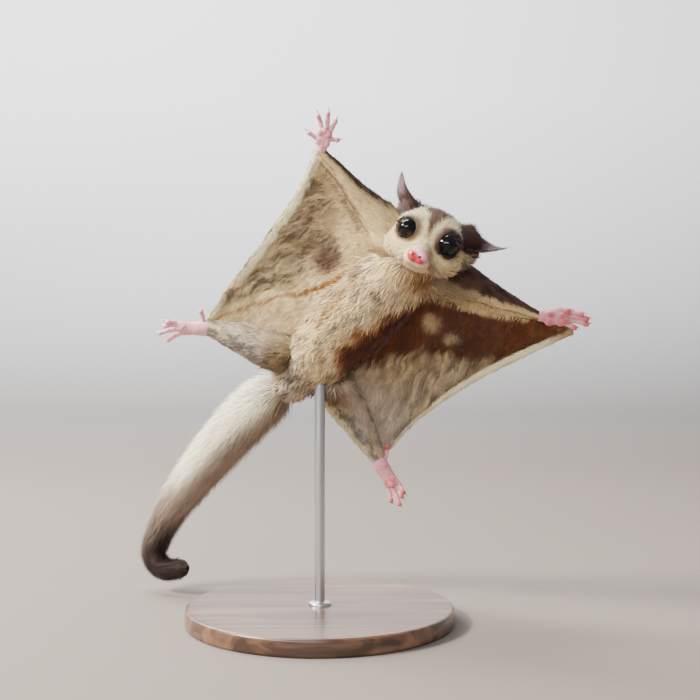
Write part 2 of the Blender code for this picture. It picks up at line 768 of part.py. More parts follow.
def build_tail(body, fur, dark, room_of_torso):
    """The tail in a few lengths: a slim core under rows of long locks."""
    draw = random.Random(LOCK_SEED)
    path = Form(TAIL, round_end=TAIL[-1][3])
    slim = [(*knot[:3], knot[3] * CORE_SHARE, knot[4] * CORE_SHARE) for knot in TAIL]
    core = Form(slim)
    step = path.length / TAIL_LENGTHS
    for number in range(TAIL_LENGTHS):
        last = number == TAIL_LENGTHS - 1
        look = dark if last else fur
        start = number * step + (GAP / 2 if number else 0.0)
        end = path.length - CORE_END if last else (number + 1) * step - GAP / 2
        node = core.loft(f"tail_{number + 1}", CORE_SIDES, 9.0, look, body, start, end)
        locks = []
        radius = path.row((number + 0.5) * step)[3]
        room = step - LOCK_FIRST - (CORE_END + 1.5 if last else LOCK_LAST * radius)
        rows = int(round(room / (LOCK_SPACING * radius))) + 1
        for row in range(rows):
            root = number * step + LOCK_FIRST + row * room / (rows - 1)
            for place in range(LOCKS_IN_ROW):
                turn = 2 * math.pi * (place + 0.5 * (row % 2)) / LOCKS_IN_ROW
                turn += draw.uniform(-0.07, 0.07)
                reach = LOCK_REACH * path.row(root)[3] * draw.uniform(0.9, 1.05)
                reach = min(reach, path.length - root - draw.uniform(0.6, 2.4))
                drift = draw.uniform(-0.14, 0.14)
                name = f"lock_{number}_{row}_{place}"
                locks.append(tail_lock(name, path, root, turn, reach, drift, look, body))
        if not number:
            cut(node, [room_of_torso], "MANIFOLD")
        fuse(node, locks, "MANIFOLD")


def build_head(head_empty, fur, skin, pink, black):
    """Head with lids, lips and nostrils, and the eyes, nose and ears set in it."""
    head = bare_head(fur, head_empty)
    room_of_head = grown(head)
    lids = [lid_ring(f"lid_{side}", side, fur, head_empty) for side in (1, -1)]
    line = mouth_points()
    lip_knots = [(*p, LIP_RADIUS, LIP_RADIUS) for p in line]
    slit_knots = [(*(p + unit(p) * 0.75), MOUTH_RADIUS, MOUTH_RADIUS * 2.4) for p in line]
    lips = Form(lip_knots, round_start=0.8, round_end=0.8).loft("lips", 6, 2.4, fur, head_empty)
    slit = Form(slit_knots, up=(0, 1, -0.4)).loft("slit", 4, 2.4, fur, head_empty)
    hide(slit)
    fuse(head, lids + [lips])
    eyes = []
    for side, word in ((1, "right"), (-1, "left")):
        centre = (EYE_AT[0] * side, EYE_AT[1], EYE_AT[2])
        eyes.append(ball(f"eye_{word}", centre, (EYE_RADIUS,) * 3, black, head_empty, 16, 8))
    nose = ball("nose", NOSE_AT, NOSE_RADII, pink, head_empty, 10, 6)
    nostrils = []
    for side in (1, -1):
        start = np.array([NOSTRIL_AT[0] * side, NOSTRIL_AT[1] + 0.6, NOSTRIL_AT[2]])
        inward = start - (0.5 * side, 2.2, -0.2)
        knots = [(*start, NOSTRIL_RADIUS, NOSTRIL_RADIUS), (*inward, NOSTRIL_RADIUS, NOSTRIL_RADIUS)]
        nostril = Form(knots).loft(f"nostril_{side}", 8, 1.0, pink, head_empty)
        hide(nostril)
        nostrils.append(nostril)
    cut(nose, [room_of_head] + nostrils)
    eye_rooms = [grown(eye) for eye in eyes]
    cut(head, eye_rooms + [slit])
    rooms = [room_of_head]
    for setting, side, word in ((RIGHT_EAR, 1, "right"), (LEFT_EAR, -1, "left")):
        leaf = ear(f"ear_{word}", setting, side, skin, head_empty)
        rooms.append(grown(leaf))
        cut(leaf, [room_of_head])
    for tool in [slit] + nostrils + eye_rooms:
        bpy.data.objects.remove(tool, do_unlink=True)
    return rooms


def build_stand(wood, steel):
    """A round base with a blind socket, and the rod that stands in it."""
    rod_foot = BASE_HEIGHT - ROD_SOCKET
    knots = [(0, 0, rod_foot, ROD_RADIUS, ROD_RADIUS), (0, 0, ROD_TOP, ROD_RADIUS, ROD_RADIUS)]
    rod = Form(knots, up=(0, 1, 0)).loft("stand_rod", 16, 200.0, steel, None)
    bpy.ops.mesh.primitive_cylinder_add(vertices=36, radius=BASE_RADIUS * MM,
                                        depth=BASE_HEIGHT * MM,
                                        location=(0, 0, BASE_HEIGHT * MM / 2))
    base = bpy.context.active_object
    base.name = "stand_base"
    base.data.materials.append(wood)
    bevel = base.modifiers.new("edge", "BEVEL")
    bevel.width = BASE_BEVEL * MM
    bevel.segments = 2
    bevel.limit_method = "ANGLE"
    room = grown(rod)
    cut(base, [room])
    bpy.data.objects.remove(room, do_unlink=True)
    return rod


def build():
    clear_scene()
    fur = material("fur_cream", CREAM)
    tawny = material("fur_tawny", TAWNY)
    grey = material("fur_grey", GREY_FUR)
    tail_fur = material("fur_tail", TAIL_FUR)
    tail_dark = material("fur_tail_end", TAIL_DARK)
    pink = material("skin_pink", PINK, 0.5)
    ear_skin = material("skin_ear", EAR_SKIN, 0.55)
    black = material("eye_black", EYE_BLACK, 0.05)
    wood = material("stand_wood", WALNUT, 0.4)
    steel = material("stand_steel", STEEL, 0.3, 1.0)

    body = add_empty("glide_pose")
    body.location = Vector(BODY_AT) * MM
    body.rotation_mode = "YXZ"
    angles = (BODY_PITCH, BODY_ROLL, BODY_YAW)
    body.rotation_euler = Euler([math.radians(a) for a in angles], "YXZ")
    head_empty = add_empty("head_pose", body)
    head_empty.location = Vector(HEAD_AT) * MM
    head_empty.rotation_euler = [math.radians(a) for a in HEAD_TURN]

    rod = build_stand(wood, steel)
    head_rooms = build_head(head_empty, fur, ear_skin, pink, black)
    neck, torso = build_trunk(body, fur)
    trunk_rooms = [grown(neck), grown(torso)]
    rod_room = grown(rod)
    cut(neck, head_rooms, "MANIFOLD")
    cut(torso, [head_rooms[0], rod_room])
    build_tail(body, tail_fur, tail_dark, trunk_rooms[1])

    limbs = (
        ("right", 1, RIGHT_ARM, RIGHT_LEG, RIGHT_HAND, RIGHT_FOOT, RIGHT_FLANK, RIGHT_EDGE),
        ("left", -1, LEFT_ARM, LEFT_LEG, LEFT_HAND, LEFT_FOOT, LEFT_FLANK, LEFT_EDGE),
    )
    for word, side, arm, leg, hand_set, foot_set, flank, edge in limbs:
        arm_names = (f"upper_arm_{word}", f"forearm_{word}")
        leg_names = (f"thigh_{word}", f"shin_{word}")
        upper_arm, forearm = limb_pair(Form(arm), arm_names, ELBOW_SHARE, ARM_SIDES, fur, body)
        thigh, shin = limb_pair(Form(leg), leg_names, KNEE_SHARE, LEG_SIDES, grey, body)
        rooms = [grown(piece) for piece in (upper_arm, forearm, thigh, shin)]
        hand = paw(f"hand_{word}", hand_set, side, PALM, HAND_DIGITS, pink, body)
        foot = paw(f"foot_{word}", foot_set, side, SOLE, FOOT_DIGITS, pink, body)
        cut(hand, [rooms[1]])
        cut(foot, [rooms[3]])
        cut(upper_arm, trunk_rooms + head_rooms, "MANIFOLD")
        cut(thigh, trunk_rooms + [rod_room], "MANIFOLD")
        rooms += [grown(hand), grown(foot)]
        web = membrane(f"patagium_{word}", arm, leg, flank, edge, tawny, body)
        cut(web, trunk_rooms + rooms + [rod_room], "MANIFOLD")
        for room in rooms:
            bpy.data.objects.remove(room, do_unlink=True)
    for room in trunk_rooms + head_rooms + [rod_room]:
        bpy.data.objects.remove(room, do_unlink=True)


build()
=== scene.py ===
"""The sugar glider's skin, coat, face, paws and stand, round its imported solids.

Lengths are in millimetres in the animal's own body frame (+X to its right, +Y towards its
head, +Z out of its back) until a mesh is made, which is in metres in the row's frame.
"""

import math

import bmesh
import bpy
import numpy as np
from mathutils import Euler, Matrix, Vector


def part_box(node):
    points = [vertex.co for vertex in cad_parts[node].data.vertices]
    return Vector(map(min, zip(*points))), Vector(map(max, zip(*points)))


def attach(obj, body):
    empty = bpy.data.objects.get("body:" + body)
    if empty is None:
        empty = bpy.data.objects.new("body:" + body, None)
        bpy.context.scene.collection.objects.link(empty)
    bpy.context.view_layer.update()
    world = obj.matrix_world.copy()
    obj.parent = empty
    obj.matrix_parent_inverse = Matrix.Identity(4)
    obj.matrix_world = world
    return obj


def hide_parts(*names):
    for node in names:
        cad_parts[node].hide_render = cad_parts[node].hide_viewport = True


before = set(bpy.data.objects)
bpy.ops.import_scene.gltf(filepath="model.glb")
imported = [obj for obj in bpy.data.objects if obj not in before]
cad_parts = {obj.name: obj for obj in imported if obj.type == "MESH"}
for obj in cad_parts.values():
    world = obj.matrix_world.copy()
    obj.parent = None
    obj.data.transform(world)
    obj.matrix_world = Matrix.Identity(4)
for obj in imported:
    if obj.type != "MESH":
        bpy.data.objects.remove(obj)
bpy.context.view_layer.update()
draw = np.random.default_rng(7)

MM = 0.001
SIDES = ((1, "right"), (-1, "left"))

# Where the glider hangs over its stand, and how it banks: pitch, roll and yaw in degrees
BODY_AT = (21.4, -15.2, 139.5)
BODY_PITCH = 35.0
BODY_ROLL = -43.0
BODY_YAW = -131.0

# The head on the body: place, and turn about the body's X, Y and Z in degrees
HEAD_AT = (8.8, 52.1, -5.0)
HEAD_TURN = (-64.7, -10.4, -23.4)

# Neck and trunk from head to rump: x, y, z, half width, half height
TRUNK = (
    (3.0, 51.0, 7.0, 14.0, 11.0),
    (4.0, 41.0, 4.0, 14.5, 12.5),
    (4.8, 31.0, 1.5, 16.0, 14.0),
    (4.8, 14.0, -0.5, 17.5, 15.0),
    (4.4, -5.0, -1.5, 18.5, 15.5),
    (3.5, -24.0, -1.0, 17.0, 14.5),
    (2.4, -42.0, 1.0, 13.5, 12.5),
    (2.2, -55.0, 3.1, 11.2, 11.0),
    (2.3, -61.0, 3.8, 10.0, 10.0),
)
RUMP_ROUND = 5.0

# Tail out to the tips of its fur: x, y, z, half width, half height
TAIL = (
    (2.4, -61.4, 3.9, 11.0, 11.0),
    (3.1, -70.0, 4.4, 12.3, 12.3),
    (4.2, -86.0, 3.8, 12.6, 12.6),
    (4.2, -107.0, 0.8, 12.2, 12.2),
    (3.4, -129.0, -3.6, 11.0, 11.0),
    (2.0, -150.0, -8.4, 9.4, 9.4),
    (-0.8, -168.0, -14.6, 8.0, 8.0),
    (-5.2, -179.0, -23.0, 7.0, 7.0),
    (-12.0, -177.4, -30.2, 6.2, 6.2),
    (-19.5, -164.0, -33.6, 4.8, 4.8),
)

# Arms from shoulder to wrist, legs from hip to ankle: x, y, z, half width, half height
RIGHT_ARM = (
    (13.0, 37.0, 2.0, 10.5, 9.5),
    (23.0, 42.5, 2.6, 9.5, 7.5),
    (35.0, 45.0, 3.0, 6.8, 5.2),
    (45.0, 46.8, 3.2, 4.8, 4.0),
    (56.0, 49.6, 3.4, 3.0, 2.8),
    (64.6, 50.8, 3.6, 2.3, 2.2),
    (67.2, 53.0, 4.0, 2.2, 2.1),
)
LEFT_ARM = (
    (-3.0, 34.0, 2.0, 10.5, 9.5),
    (-15.0, 42.0, 3.0, 9.8, 7.5),
    (-27.0, 45.0, 4.0, 7.4, 5.4),
    (-37.0, 47.4, 4.4, 5.6, 4.2),
    (-47.0, 50.0, 4.8, 3.8, 3.0),
    (-55.0, 52.2, 5.0, 2.6, 2.3),
    (-58.0, 54.2, 5.3, 2.3, 2.1),
)
RIGHT_LEG = (
    (10.0, -39.0, 0.0, 10.5, 9.5),
    (24.0, -45.5, 0.5, 9.5, 8.0),
    (36.0, -50.0, 1.2, 7.8, 6.2),
    (45.0, -54.0, 1.8, 5.6, 4.6),
    (51.0, -56.6, 2.0, 4.0, 3.6),
)
LEFT_LEG = (
    (-6.0, -38.0, 0.0, 10.5, 9.5),
    (-20.0, -43.5, 0.3, 9.6, 8.0),
    (-33.0, -49.6, 0.2, 8.2, 6.4),
    (-46.0, -55.6, -0.2, 6.2, 4.8),
    (-57.2, -60.5, -1.0, 4.2, 3.6),
)

# Hands and feet: the wrist or ankle, the way the digits point, how far they fan out,
# the angle of the thumb or big toe in degrees, the size, and how red the pads are
RIGHT_HAND = ((66.6, 52.2, 3.9), (0.47, 0.86, 0.15), 0.62, -72.0, 1.0, 0.3)
LEFT_HAND = ((-57.2, 53.4, 5.0), (-0.82, 0.56, 0.06), 0.30, -16.0, 1.3, 0.95)
RIGHT_FOOT = ((50.6, -56.6, 1.9), (0.76, -0.62, -0.155), 1.2, -86.0, 1.08, 0.25)
LEFT_FOOT = ((-57.8, -60.7, -1.6), (-0.87, -0.22, -0.44), 0.6, -140.0, 1.16, 1.0)

# Palm and sole: distance from the wrist or ankle, height, half width, half thickness
PALM = ((-1.5, 0.0, 2.0, 1.9), (2.0, 0.0, 2.6, 1.8), (5.0, 0.1, 3.3, 1.6), (8.0, 0.0, 3.0, 1.1))
SOLE = ((-2.0, 0.0, 3.2, 3.0), (2.0, -0.6, 3.4, 2.7), (7.0, -0.2, 3.3, 2.0), (12.4, 0.0, 3.8, 1.3))

# Digits, thumb or big toe first: knuckle across, knuckle along, fan angle, length, clawed
HAND_DIGITS = (
    (-2.0, 2.6, 0.0, 5.8, True),
    (-2.0, 6.0, -20.0, 7.0, True),
    (-0.8, 7.0, -5.0, 8.2, True),
    (0.8, 7.0, 9.0, 8.6, True),
    (2.1, 5.2, 34.0, 6.8, True),
)
RIGHT_DIGITS = (
    (-1.9, 3.4, 0.0, 4.6, True),
    (-1.9, 6.2, -24.0, 6.6, True),
    (-0.6, 7.2, 8.0, 8.0, True),
    (1.1, 6.9, 40.0, 7.0, True),
    (2.0, 2.4, 96.0, 5.6, True),
)
FOOT_DIGITS = (
    (-2.2, 1.2, 0.0, 7.6, False),
    (-2.3, 10.4, -12.0, 6.8, True),
    (-1.0, 11.2, -5.0, 7.2, True),
    (0.8, 11.6, 6.0, 9.4, True),
    (2.4, 10.4, 22.0, 8.2, True),
)
DIGIT_RADIUS = 0.98
PAD_RADIUS = 0.98
CLAW_LENGTH = 1.8

# Gliding membranes: the free edge from hand to foot, and the flank line they spring from
RIGHT_EDGE = (
    (67.0, 47.5, 4.2),
    (59.6, 22.0, 10.6),
    (55.9, -6.0, 12.2),
    (54.0, -32.0, 10.8),
    (52.5, -51.0, 5.6),
)
LEFT_EDGE = (
    (-73.0, 56.6, 6.2),
    (-68.4, 32.3, 10.2),
    (-61.8, -1.3, 13.0),
    (-57.8, -33.9, 10.2),
    (-58.6, -54.0, 4.6),
)
RIGHT_FLANK = ((17.0, 36.0, 3.0), (18.5, 0.0, 2.5), (14.0, -38.0, 2.0))
LEFT_FLANK = ((-6.0, 34.0, 3.0), (-9.5, 0.0, 2.5), (-8.0, -38.0, 2.0))
MEMBRANE_BILLOW = 5.0

# Forms of the head in its own frame: centre, then radii
CRANIUM = ((0.0, -4.0, 1.6), (16.0, 15.0, 11.6))
CHEEK = ((8.2, 1.6, -4.2), (7.6, 8.8, 7.0))
BROW = ((7.6, 4.5, 4.4), (6.6, 6.0, 5.2))
MUZZLE = ((0.0, 12.0, -4.8), (5.8, 10.6, 5.2))
JAW = ((0.0, 6.5, -8.2), (8.6, 10.0, 4.8))
EAR_MOUNDS = (((11.0, -5.5, 8.2), (5.0, 4.6, 4.8)), ((-13.4, -5.5, 6.2), (5.2, 4.6, 5.6)))
RUFFS = (((12.5, -8.0, -1.0), (6.5, 6.0, 8.0)), ((-14.0, -8.0, 1.0), (6.6, 6.0, 7.6)))
HEAD_BLEND = 3.5
HEAD_TILT = 0.2

EYE_AT = (8.7, 6.8, 2.8)
EYE_RADIUS = 4.6
EYE_LOOK = (0.44, 0.88, 0.18)
LID_FORWARD = 1.5

NOSE_AT = (0.0, 22.2, -4.2)

MOUTH_HALF_WIDTH = 5.6
MOUTH_BACK = 9.0
MOUTH_FRONT = 20.5
MOUTH_HEIGHT = -8.0

# Ears in the head frame: root, way of the tip, way the cup opens, then width, length,
# bend, twist in degrees and how steeply the leaf tapers
EARS = {
    1: ((10.2, -6.5, 11.4), (0.706, -0.212, 0.676), (0.602, 0.684, -0.413),
        10.1, 16.2, -1.9, -7.0, 0.65),
    -1: ((-16.7, -5.2, 4.9), (-0.945, -0.137, 0.297), (0.081, 0.782, 0.618),
         13.5, 16.2, 2.8, 60.0, 1.0),
}
EAR_THICK = 0.55

WHISKER_RADIUS = 0.05

# Rings and points round of the eyes, the nose, the face and the head's fused core
EYE_GRID = (48, 72)
NOSE_GRID = (70, 96)
FACE_GRID = (150, 210)
CORE_GRID = (40, 48)

# Display stand
BASE_RADIUS = 62.0
BASE_HEIGHT = 8.0
BASE_BEVEL = 1.5
ROD_RADIUS = 2.4
ROD_SOCKET = 5.0

# How deep the coat is over the skin, and the thickness of what it covers
TRUNK_COAT = 2.6
LIMB_COAT = 1.5
WRIST_COAT = 0.5
HEAD_COAT = 0.9
TAIL_CORE = 0.36
WEB_THICK = 1.2
ROLL_RADIUS = 1.4

# How fine the fused skin, the fused paws and the map of a membrane are
SKIN_VOXEL = 0.55
PAW_VOXEL = 0.24
WEB_CELL = 0.8

# The coat: how many tufts, their length and width, and how far they stand off the skin
TUFTS = {
    "coat_trunk": (46000, 6.2, 0.62, 0.30),
    "coat_trunk_long": (15000, 8.0, 0.42, 0.42),
    "coat_arms": (30000, 5.0, 0.36, 0.26),
    "coat_legs": (32000, 6.8, 0.42, 0.42),
    "coat_web": (52000, 4.6, 0.34, 0.15),
    "fringe": (14000, 2.2, 0.26, 0.05),
    "coat_cheeks": (16000, 1.7, 0.3, 0.42),
    "coat_ears": (3600, 1.5, 0.13, 0.22),
}
FACE_TUFTS = 52000
TAIL_HAIRS = 36000

# Shares of their length where tufts and hairs bend, how much tufts curl, how light their
# tips are, where the face's coat parts in the head's frame, and half a patch of the bake map
TUFT_STATIONS = (0.0, 0.5)
LONG_STATIONS = (0.0, 0.35, 0.7)
HAIR_STATIONS = (0.0, 0.3, 0.62, 1.0)
TUFT_CURL = 0.12
TIP_LIGHT = 1.1
COAT_PARTING = (0.0, 24.0, -3.5)
PATCH_HALF = 0.0015

BODY = Matrix.Translation(Vector(BODY_AT)) @ (
    Matrix.Rotation(math.radians(BODY_YAW), 4, "Z")
    @ Matrix.Rotation(math.radians(BODY_PITCH), 4, "X")
    @ Matrix.Rotation(math.radians(BODY_ROLL), 4, "Y"))
HEAD = Matrix.Translation(Vector(HEAD_AT)) @ Euler(
    [math.radians(a) for a in HEAD_TURN], "XYZ").to_matrix().to_4x4()
BODY_TURN = np.array(BODY.to_3x3())
BODY_MOVE = np.array(BODY.translation)
HEAD_ROT = np.array(HEAD.to_3x3())
HEAD_MOVE = np.array(HEAD.translation)


def to_row(points):
    """From the body frame to the row's frame, in metres."""
    return (np.asarray(points) @ BODY_TURN.T + BODY_MOVE) * MM


def head_to_body(points):
    """From the head's frame to the body frame."""
    return np.asarray(points) @ HEAD_ROT.T + HEAD_MOVE


def body_to_head(points):
    """From the body frame to the head's frame."""
    return (np.asarray(points) - HEAD_MOVE) @ HEAD_ROT


def srgb(red, green, blue):
    """A colour of 0 to 255 values as linear light."""
    c = np.array([red, green, blue]) / 255
    return np.where(c <= 0.04045, c / 12.92, ((c + 0.055) / 1.055) ** 2.4)


def unit(v):
    """Vectors drawn to a length of one."""
    v = np.asarray(v, float)
    return v / np.maximum(np.linalg.norm(v, axis=-1, keepdims=True), 1e-9)


def step(low, high, x):
    """A smooth step from 0 to 1."""
    t = np.clip((x - low) / (high - low), 0, 1)
    return t * t * (3 - 2 * t)


def bump(x, middle, reach):
    """A round hill of height 1 over the middle."""
    return np.exp(-((x - middle) / reach) ** 2)


def mix(a, b, share):
    """One colour drawn towards another by a share."""
    share = np.asarray(share)[..., None]
    return a * (1 - share) + b * share


def lattice(cells, seed):
    """A repeatable value from 0 to 1 for whole-number cells."""
    n = cells[..., 0] * 73856093 ^ cells[..., 1] * 19349663 ^ cells[..., 2] * 83492791
    n = (n ^ (seed * 2654435761)) & 0xFFFFFFFF
    n = ((n ^ (n >> 15)) * 2246822519) & 0xFFFFFFFF
    n = ((n ^ (n >> 13)) * 3266489917) & 0xFFFFFFFF
    return ((n ^ (n >> 16)) & 0xFFFF) / 65535.0


def noise(points, size, seed=0):
    """Smooth noise from -1 to 1 with features of a given size."""
    p = np.asarray(points, float) / size
    base = np.floor(p).astype(np.int64)
    f = p - base
    f = f * f * (3 - 2 * f)
    total = 0.0
    for dx in (0, 1):
        for dy in (0, 1):
            for dz in (0, 1):
                w = (f[..., 0] if dx else 1 - f[..., 0])
                w = w * (f[..., 1] if dy else 1 - f[..., 1])
                w = w * (f[..., 2] if dz else 1 - f[..., 2])
                total = total + w * lattice(base + (dx, dy, dz), seed)
    return total * 2 - 1


def spline(knots, per_span=16):
    """Rows of numbers along a smooth curve through the knots."""
    k = np.asarray(knots, dtype=float)
    k = np.vstack([2 * k[0] - k[1], k, 2 * k[-1] - k[-2]])
    rows = []
    for a, b, c, d in zip(k[:-3], k[1:-2], k[2:-1], k[3:]):
        for t in np.linspace(0, 1, per_span, endpoint=False):
            bend = (2 * a - 5 * b + 4 * c - d) * t ** 2 + (3 * b - a - 3 * c + d) * t ** 3
            rows.append(0.5 * (2 * b + (c - a) * t + bend))
    rows.append(k[-2])
    return np.array(rows)


class Form:
    """A tapering form along a smooth curve, with round ends where they are asked for."""

    def __init__(self, knots, round_start=0.0, round_end=0.0):
        self.rows = spline(knots)
        steps = np.linalg.norm(np.diff(self.rows[:, :3], axis=0), axis=1)
        self.along = np.concatenate([[0.0], np.cumsum(steps)])
        self.length = self.along[-1]
        self.round_start = round_start
        self.round_end = round_end
        ahead = unit(np.gradient(self.rows[:, :3], axis=0))
        side = unit(np.cross(ahead, (0, 0, 1)))
        self.ahead, self.side, self.up = ahead, side, np.cross(side, ahead)

    def pick(self, table, s):
        """Rows of a table of the curve at distances along it."""
        return np.stack([np.interp(s, self.along, c) for c in table.T], axis=-1)

    def row(self, s):
        return self.pick(self.rows, s)

    def fullness(self, s):
        """Share of the width that a round end leaves at distances along."""
        share = np.ones_like(np.asarray(s, float))
        for reach, depth in ((self.round_start, s), (self.round_end, self.length - s)):
            if reach > 0.0:
                dome = np.sqrt(np.clip(1.0 - (1.0 - depth / reach) ** 2, 0.0, 1.0))
                share = share * np.where(depth < reach, dome, 1.0)
        return share

    def spot(self, s, turn):
        """Points of the surface at a distance along and a turn round."""
        row = self.row(s)
        side = unit(self.pick(self.side, s))
        up = unit(self.pick(self.up, s))
        full = row[..., 3:5] * self.fullness(s)[..., None]
        return (row[..., :3] + side * (full[..., 0] * np.cos(turn))[..., None]
                + up * (full[..., 1] * np.sin(turn))[..., None])

    def stops(self, step_size):
        """Distances along for the rings of the surface, closest together in round ends."""
        count = max(3, int(round(self.length / step_size)) + 1)
        stops = np.linspace(0, self.length, count)
        dome = [1 - math.cos(math.radians(a)) for a in (8, 20, 34, 48, 62)]
        if self.round_start:
            stops = np.append(stops, [self.round_start * d for d in dome])
        if self.round_end:
            stops = np.append(stops, [self.length - self.round_end * d for d in dome])
        return np.unique(stops)

    def shell(self, sides, step_size):
        """Vertices and faces of the whole form as one closed surface."""
        stops = self.stops(step_size)
        turns = np.linspace(0, 2 * math.pi, sides, endpoint=False)
        s, turn = np.meshgrid(stops, turns, indexing="ij")
        verts = self.spot(s, turn).reshape(-1, 3)
        return closed_tube(verts, len(stops), sides)

    def locate(self, points):
        """For each point: distance along, turn round and distance out of the surface."""
        centres = self.rows[:, :3]
        found = []
        for chunk in np.array_split(points, max(1, len(points) // 20000)):
            gap = (centres ** 2).sum(1) - 2 * chunk @ centres.T
            near = gap.argmin(1)
            away = chunk - centres[near]
            ahead, side, up = self.ahead[near], self.side[near], self.up[near]
            s = np.clip(self.along[near] + (away * ahead).sum(1), 0, self.length)
            x, y = (away * side).sum(1), (away * up).sum(1)
            over = np.abs((away * ahead).sum(1)) - 1.5
            full = self.row(s)[:, 3:5] * np.maximum(self.fullness(s), 0.25)[:, None]
            share = np.hypot(x / full[:, 0], y / full[:, 1])
            out = (share - 1) * full.mean(1) + np.maximum(over, 0)
            found.append(np.stack([s, np.arctan2(y, x), out], 1))
        return np.concatenate(found)


def closed_tube(verts, rings, sides):
    """Rings of points closed into one surface, with a fan of triangles at each end."""
    faces = []
    for r in range(rings - 1):
        for i in range(sides):
            j = (i + 1) % sides
            low, high = r * sides, (r + 1) * sides
            faces.append((low + i, low + j, high + j, high + i))
    first = len(verts)
    verts = np.vstack([verts, verts[:sides].mean(0), verts[-sides:].mean(0)])
    last_ring = (rings - 1) * sides
    for i in range(sides):
        j = (i + 1) % sides
        faces.append((first, j, i))
        faces.append((first + 1, last_ring + i, last_ring + j))
    return verts, faces


def join_shells(shells):
    """Several surfaces as one list of points and one of faces."""
    verts, faces, count = [], [], 0
    for v, f in shells:
        verts.append(np.asarray(v))
        faces += [tuple(i + count for i in face) for face in f]
        count += len(v)
    return np.vstack(verts), faces


def new_object(name, verts, faces, look=None, in_row=True):
    """A smooth mesh object from points of the body frame."""
    mesh = bpy.data.meshes.new(name)
    points = to_row(verts) if in_row else np.asarray(verts)
    mesh.from_pydata(points.tolist(), [], faces)
    mesh.validate()
    mesh.shade_smooth()
    if look:
        mesh.materials.append(look)
    obj = bpy.data.objects.new(name, mesh)
    bpy.context.collection.objects.link(obj)
    return obj


def face_outward(obj):
    """Turns every face of a closed piece outward."""
    shell = bmesh.new()
    shell.from_mesh(obj.data)
    bmesh.ops.recalc_face_normals(shell, faces=shell.faces)
    if shell.calc_volume(signed=True) < 0:
        bmesh.ops.reverse_faces(shell, faces=shell.faces)
    shell.to_mesh(obj.data)
    shell.free()
    return obj


def read(items, key, width, kind):
    """One value of every item of a mesh, as rows of an array."""
    values = np.empty(len(items) * width, kind)
    items.foreach_get(key, values)
    return values.reshape(-1, width)


def fused(shells, voxel, smooth_rounds):
    """One closed skin round all shells, in millimetres of the body frame: points, quads."""
    verts, faces = join_shells(shells)
    obj = face_outward(new_object("to_fuse", verts, faces, in_row=False))
    wrap = obj.modifiers.new("wrap", "REMESH")
    wrap.mode = "VOXEL"
    wrap.voxel_size = voxel
    bpy.context.view_layer.update()
    seen = obj.evaluated_get(bpy.context.evaluated_depsgraph_get())
    mesh = bpy.data.meshes.new_from_object(seen)
    points = read(mesh.vertices, "co", 3, float)
    edges = read(mesh.edges, "vertices", 2, np.int32)
    if (read(mesh.polygons, "loop_total", 1, np.int32) != 4).any():
        raise RuntimeError("the fused skin has faces that are not quads")
    quads = read(mesh.loops, "vertex_index", 1, np.int32).reshape(-1, 4)
    for number in range(smooth_rounds * 2):
        points = relax(points, edges, 0.5 if number % 2 == 0 else -0.46)
    bpy.data.objects.remove(obj)
    bpy.data.meshes.remove(mesh)
    return points, quads


def relax(points, edges, share):
    """Moves each point towards the mean of its neighbours by a share."""
    count = np.bincount(edges.ravel(), minlength=len(points)).astype(float)
    total = np.stack([
        np.bincount(edges[:, 0], points[edges[:, 1], k], len(points))
        + np.bincount(edges[:, 1], points[edges[:, 0], k], len(points)) for k in range(3)], 1)
    return points + (total / np.maximum(count, 1)[:, None] - points) * share


def soft_join(values, blend):
    """Fields joined into one, with a soft blend where they meet."""
    joined = values[0]
    for value in values[1:]:
        share = np.clip(0.5 + 0.5 * (joined - value) / blend, 0, 1)
        joined = joined * (1 - share) + value * share - blend * share * (1 - share)
    return joined


def soft_cut(value, hole, blend):
    """The field with a hole taken out of it, with a soft rim."""
    return -soft_join([-value, hole], blend)


def head_forms(points):
    """Distance out of the rounded forms of the head, joined: negative inside."""
    forms = [CRANIUM, MUZZLE, JAW]
    for (x, y, z), radii in (CHEEK, BROW):
        forms += [((x, y, z), radii), ((-x, y, z), radii)]
    forms += [*EAR_MOUNDS, *RUFFS]
    fields = []
    for centre, radii in forms:
        radii = np.array(radii)
        scaled = (points - np.array(centre)) / radii
        length = np.linalg.norm(scaled, axis=-1)
        slope = np.linalg.norm(scaled / radii, axis=-1)
        fields.append(length * (length - 1) / np.maximum(slope, 1e-9))
    return soft_join(fields, HEAD_BLEND)


def to_line(points, line):
    """Distance from points to a line of short stretches."""
    line = np.asarray(line, float)
    best = np.full(points.shape[:-1], 1e9)
    for a, b in zip(line, line[1:]):
        along = np.clip(((points - a) @ (b - a)) / ((b - a) @ (b - a)), 0, 1)
        best = np.minimum(best, np.linalg.norm(points - a - along[..., None] * (b - a), axis=-1))
    return best


def bare_head(points):
    """The head's field without its coat."""
    return head_forms(points) + HEAD_COAT


EYE_SIDES = {side: np.array([EYE_AT[0] * side, EYE_AT[1], EYE_AT[2]]) for side in (1, -1)}
EYE_WAYS = {side: unit([EYE_LOOK[0] * side, EYE_LOOK[1], EYE_LOOK[2]]) for side in (1, -1)}


def round_eye(points, side):
    """Distance forward along the look of an eye, and out from that line."""
    away = points - EYE_SIDES[side]
    depth = away @ EYE_WAYS[side]
    return depth, np.linalg.norm(away - depth[..., None] * EYE_WAYS[side], axis=-1)


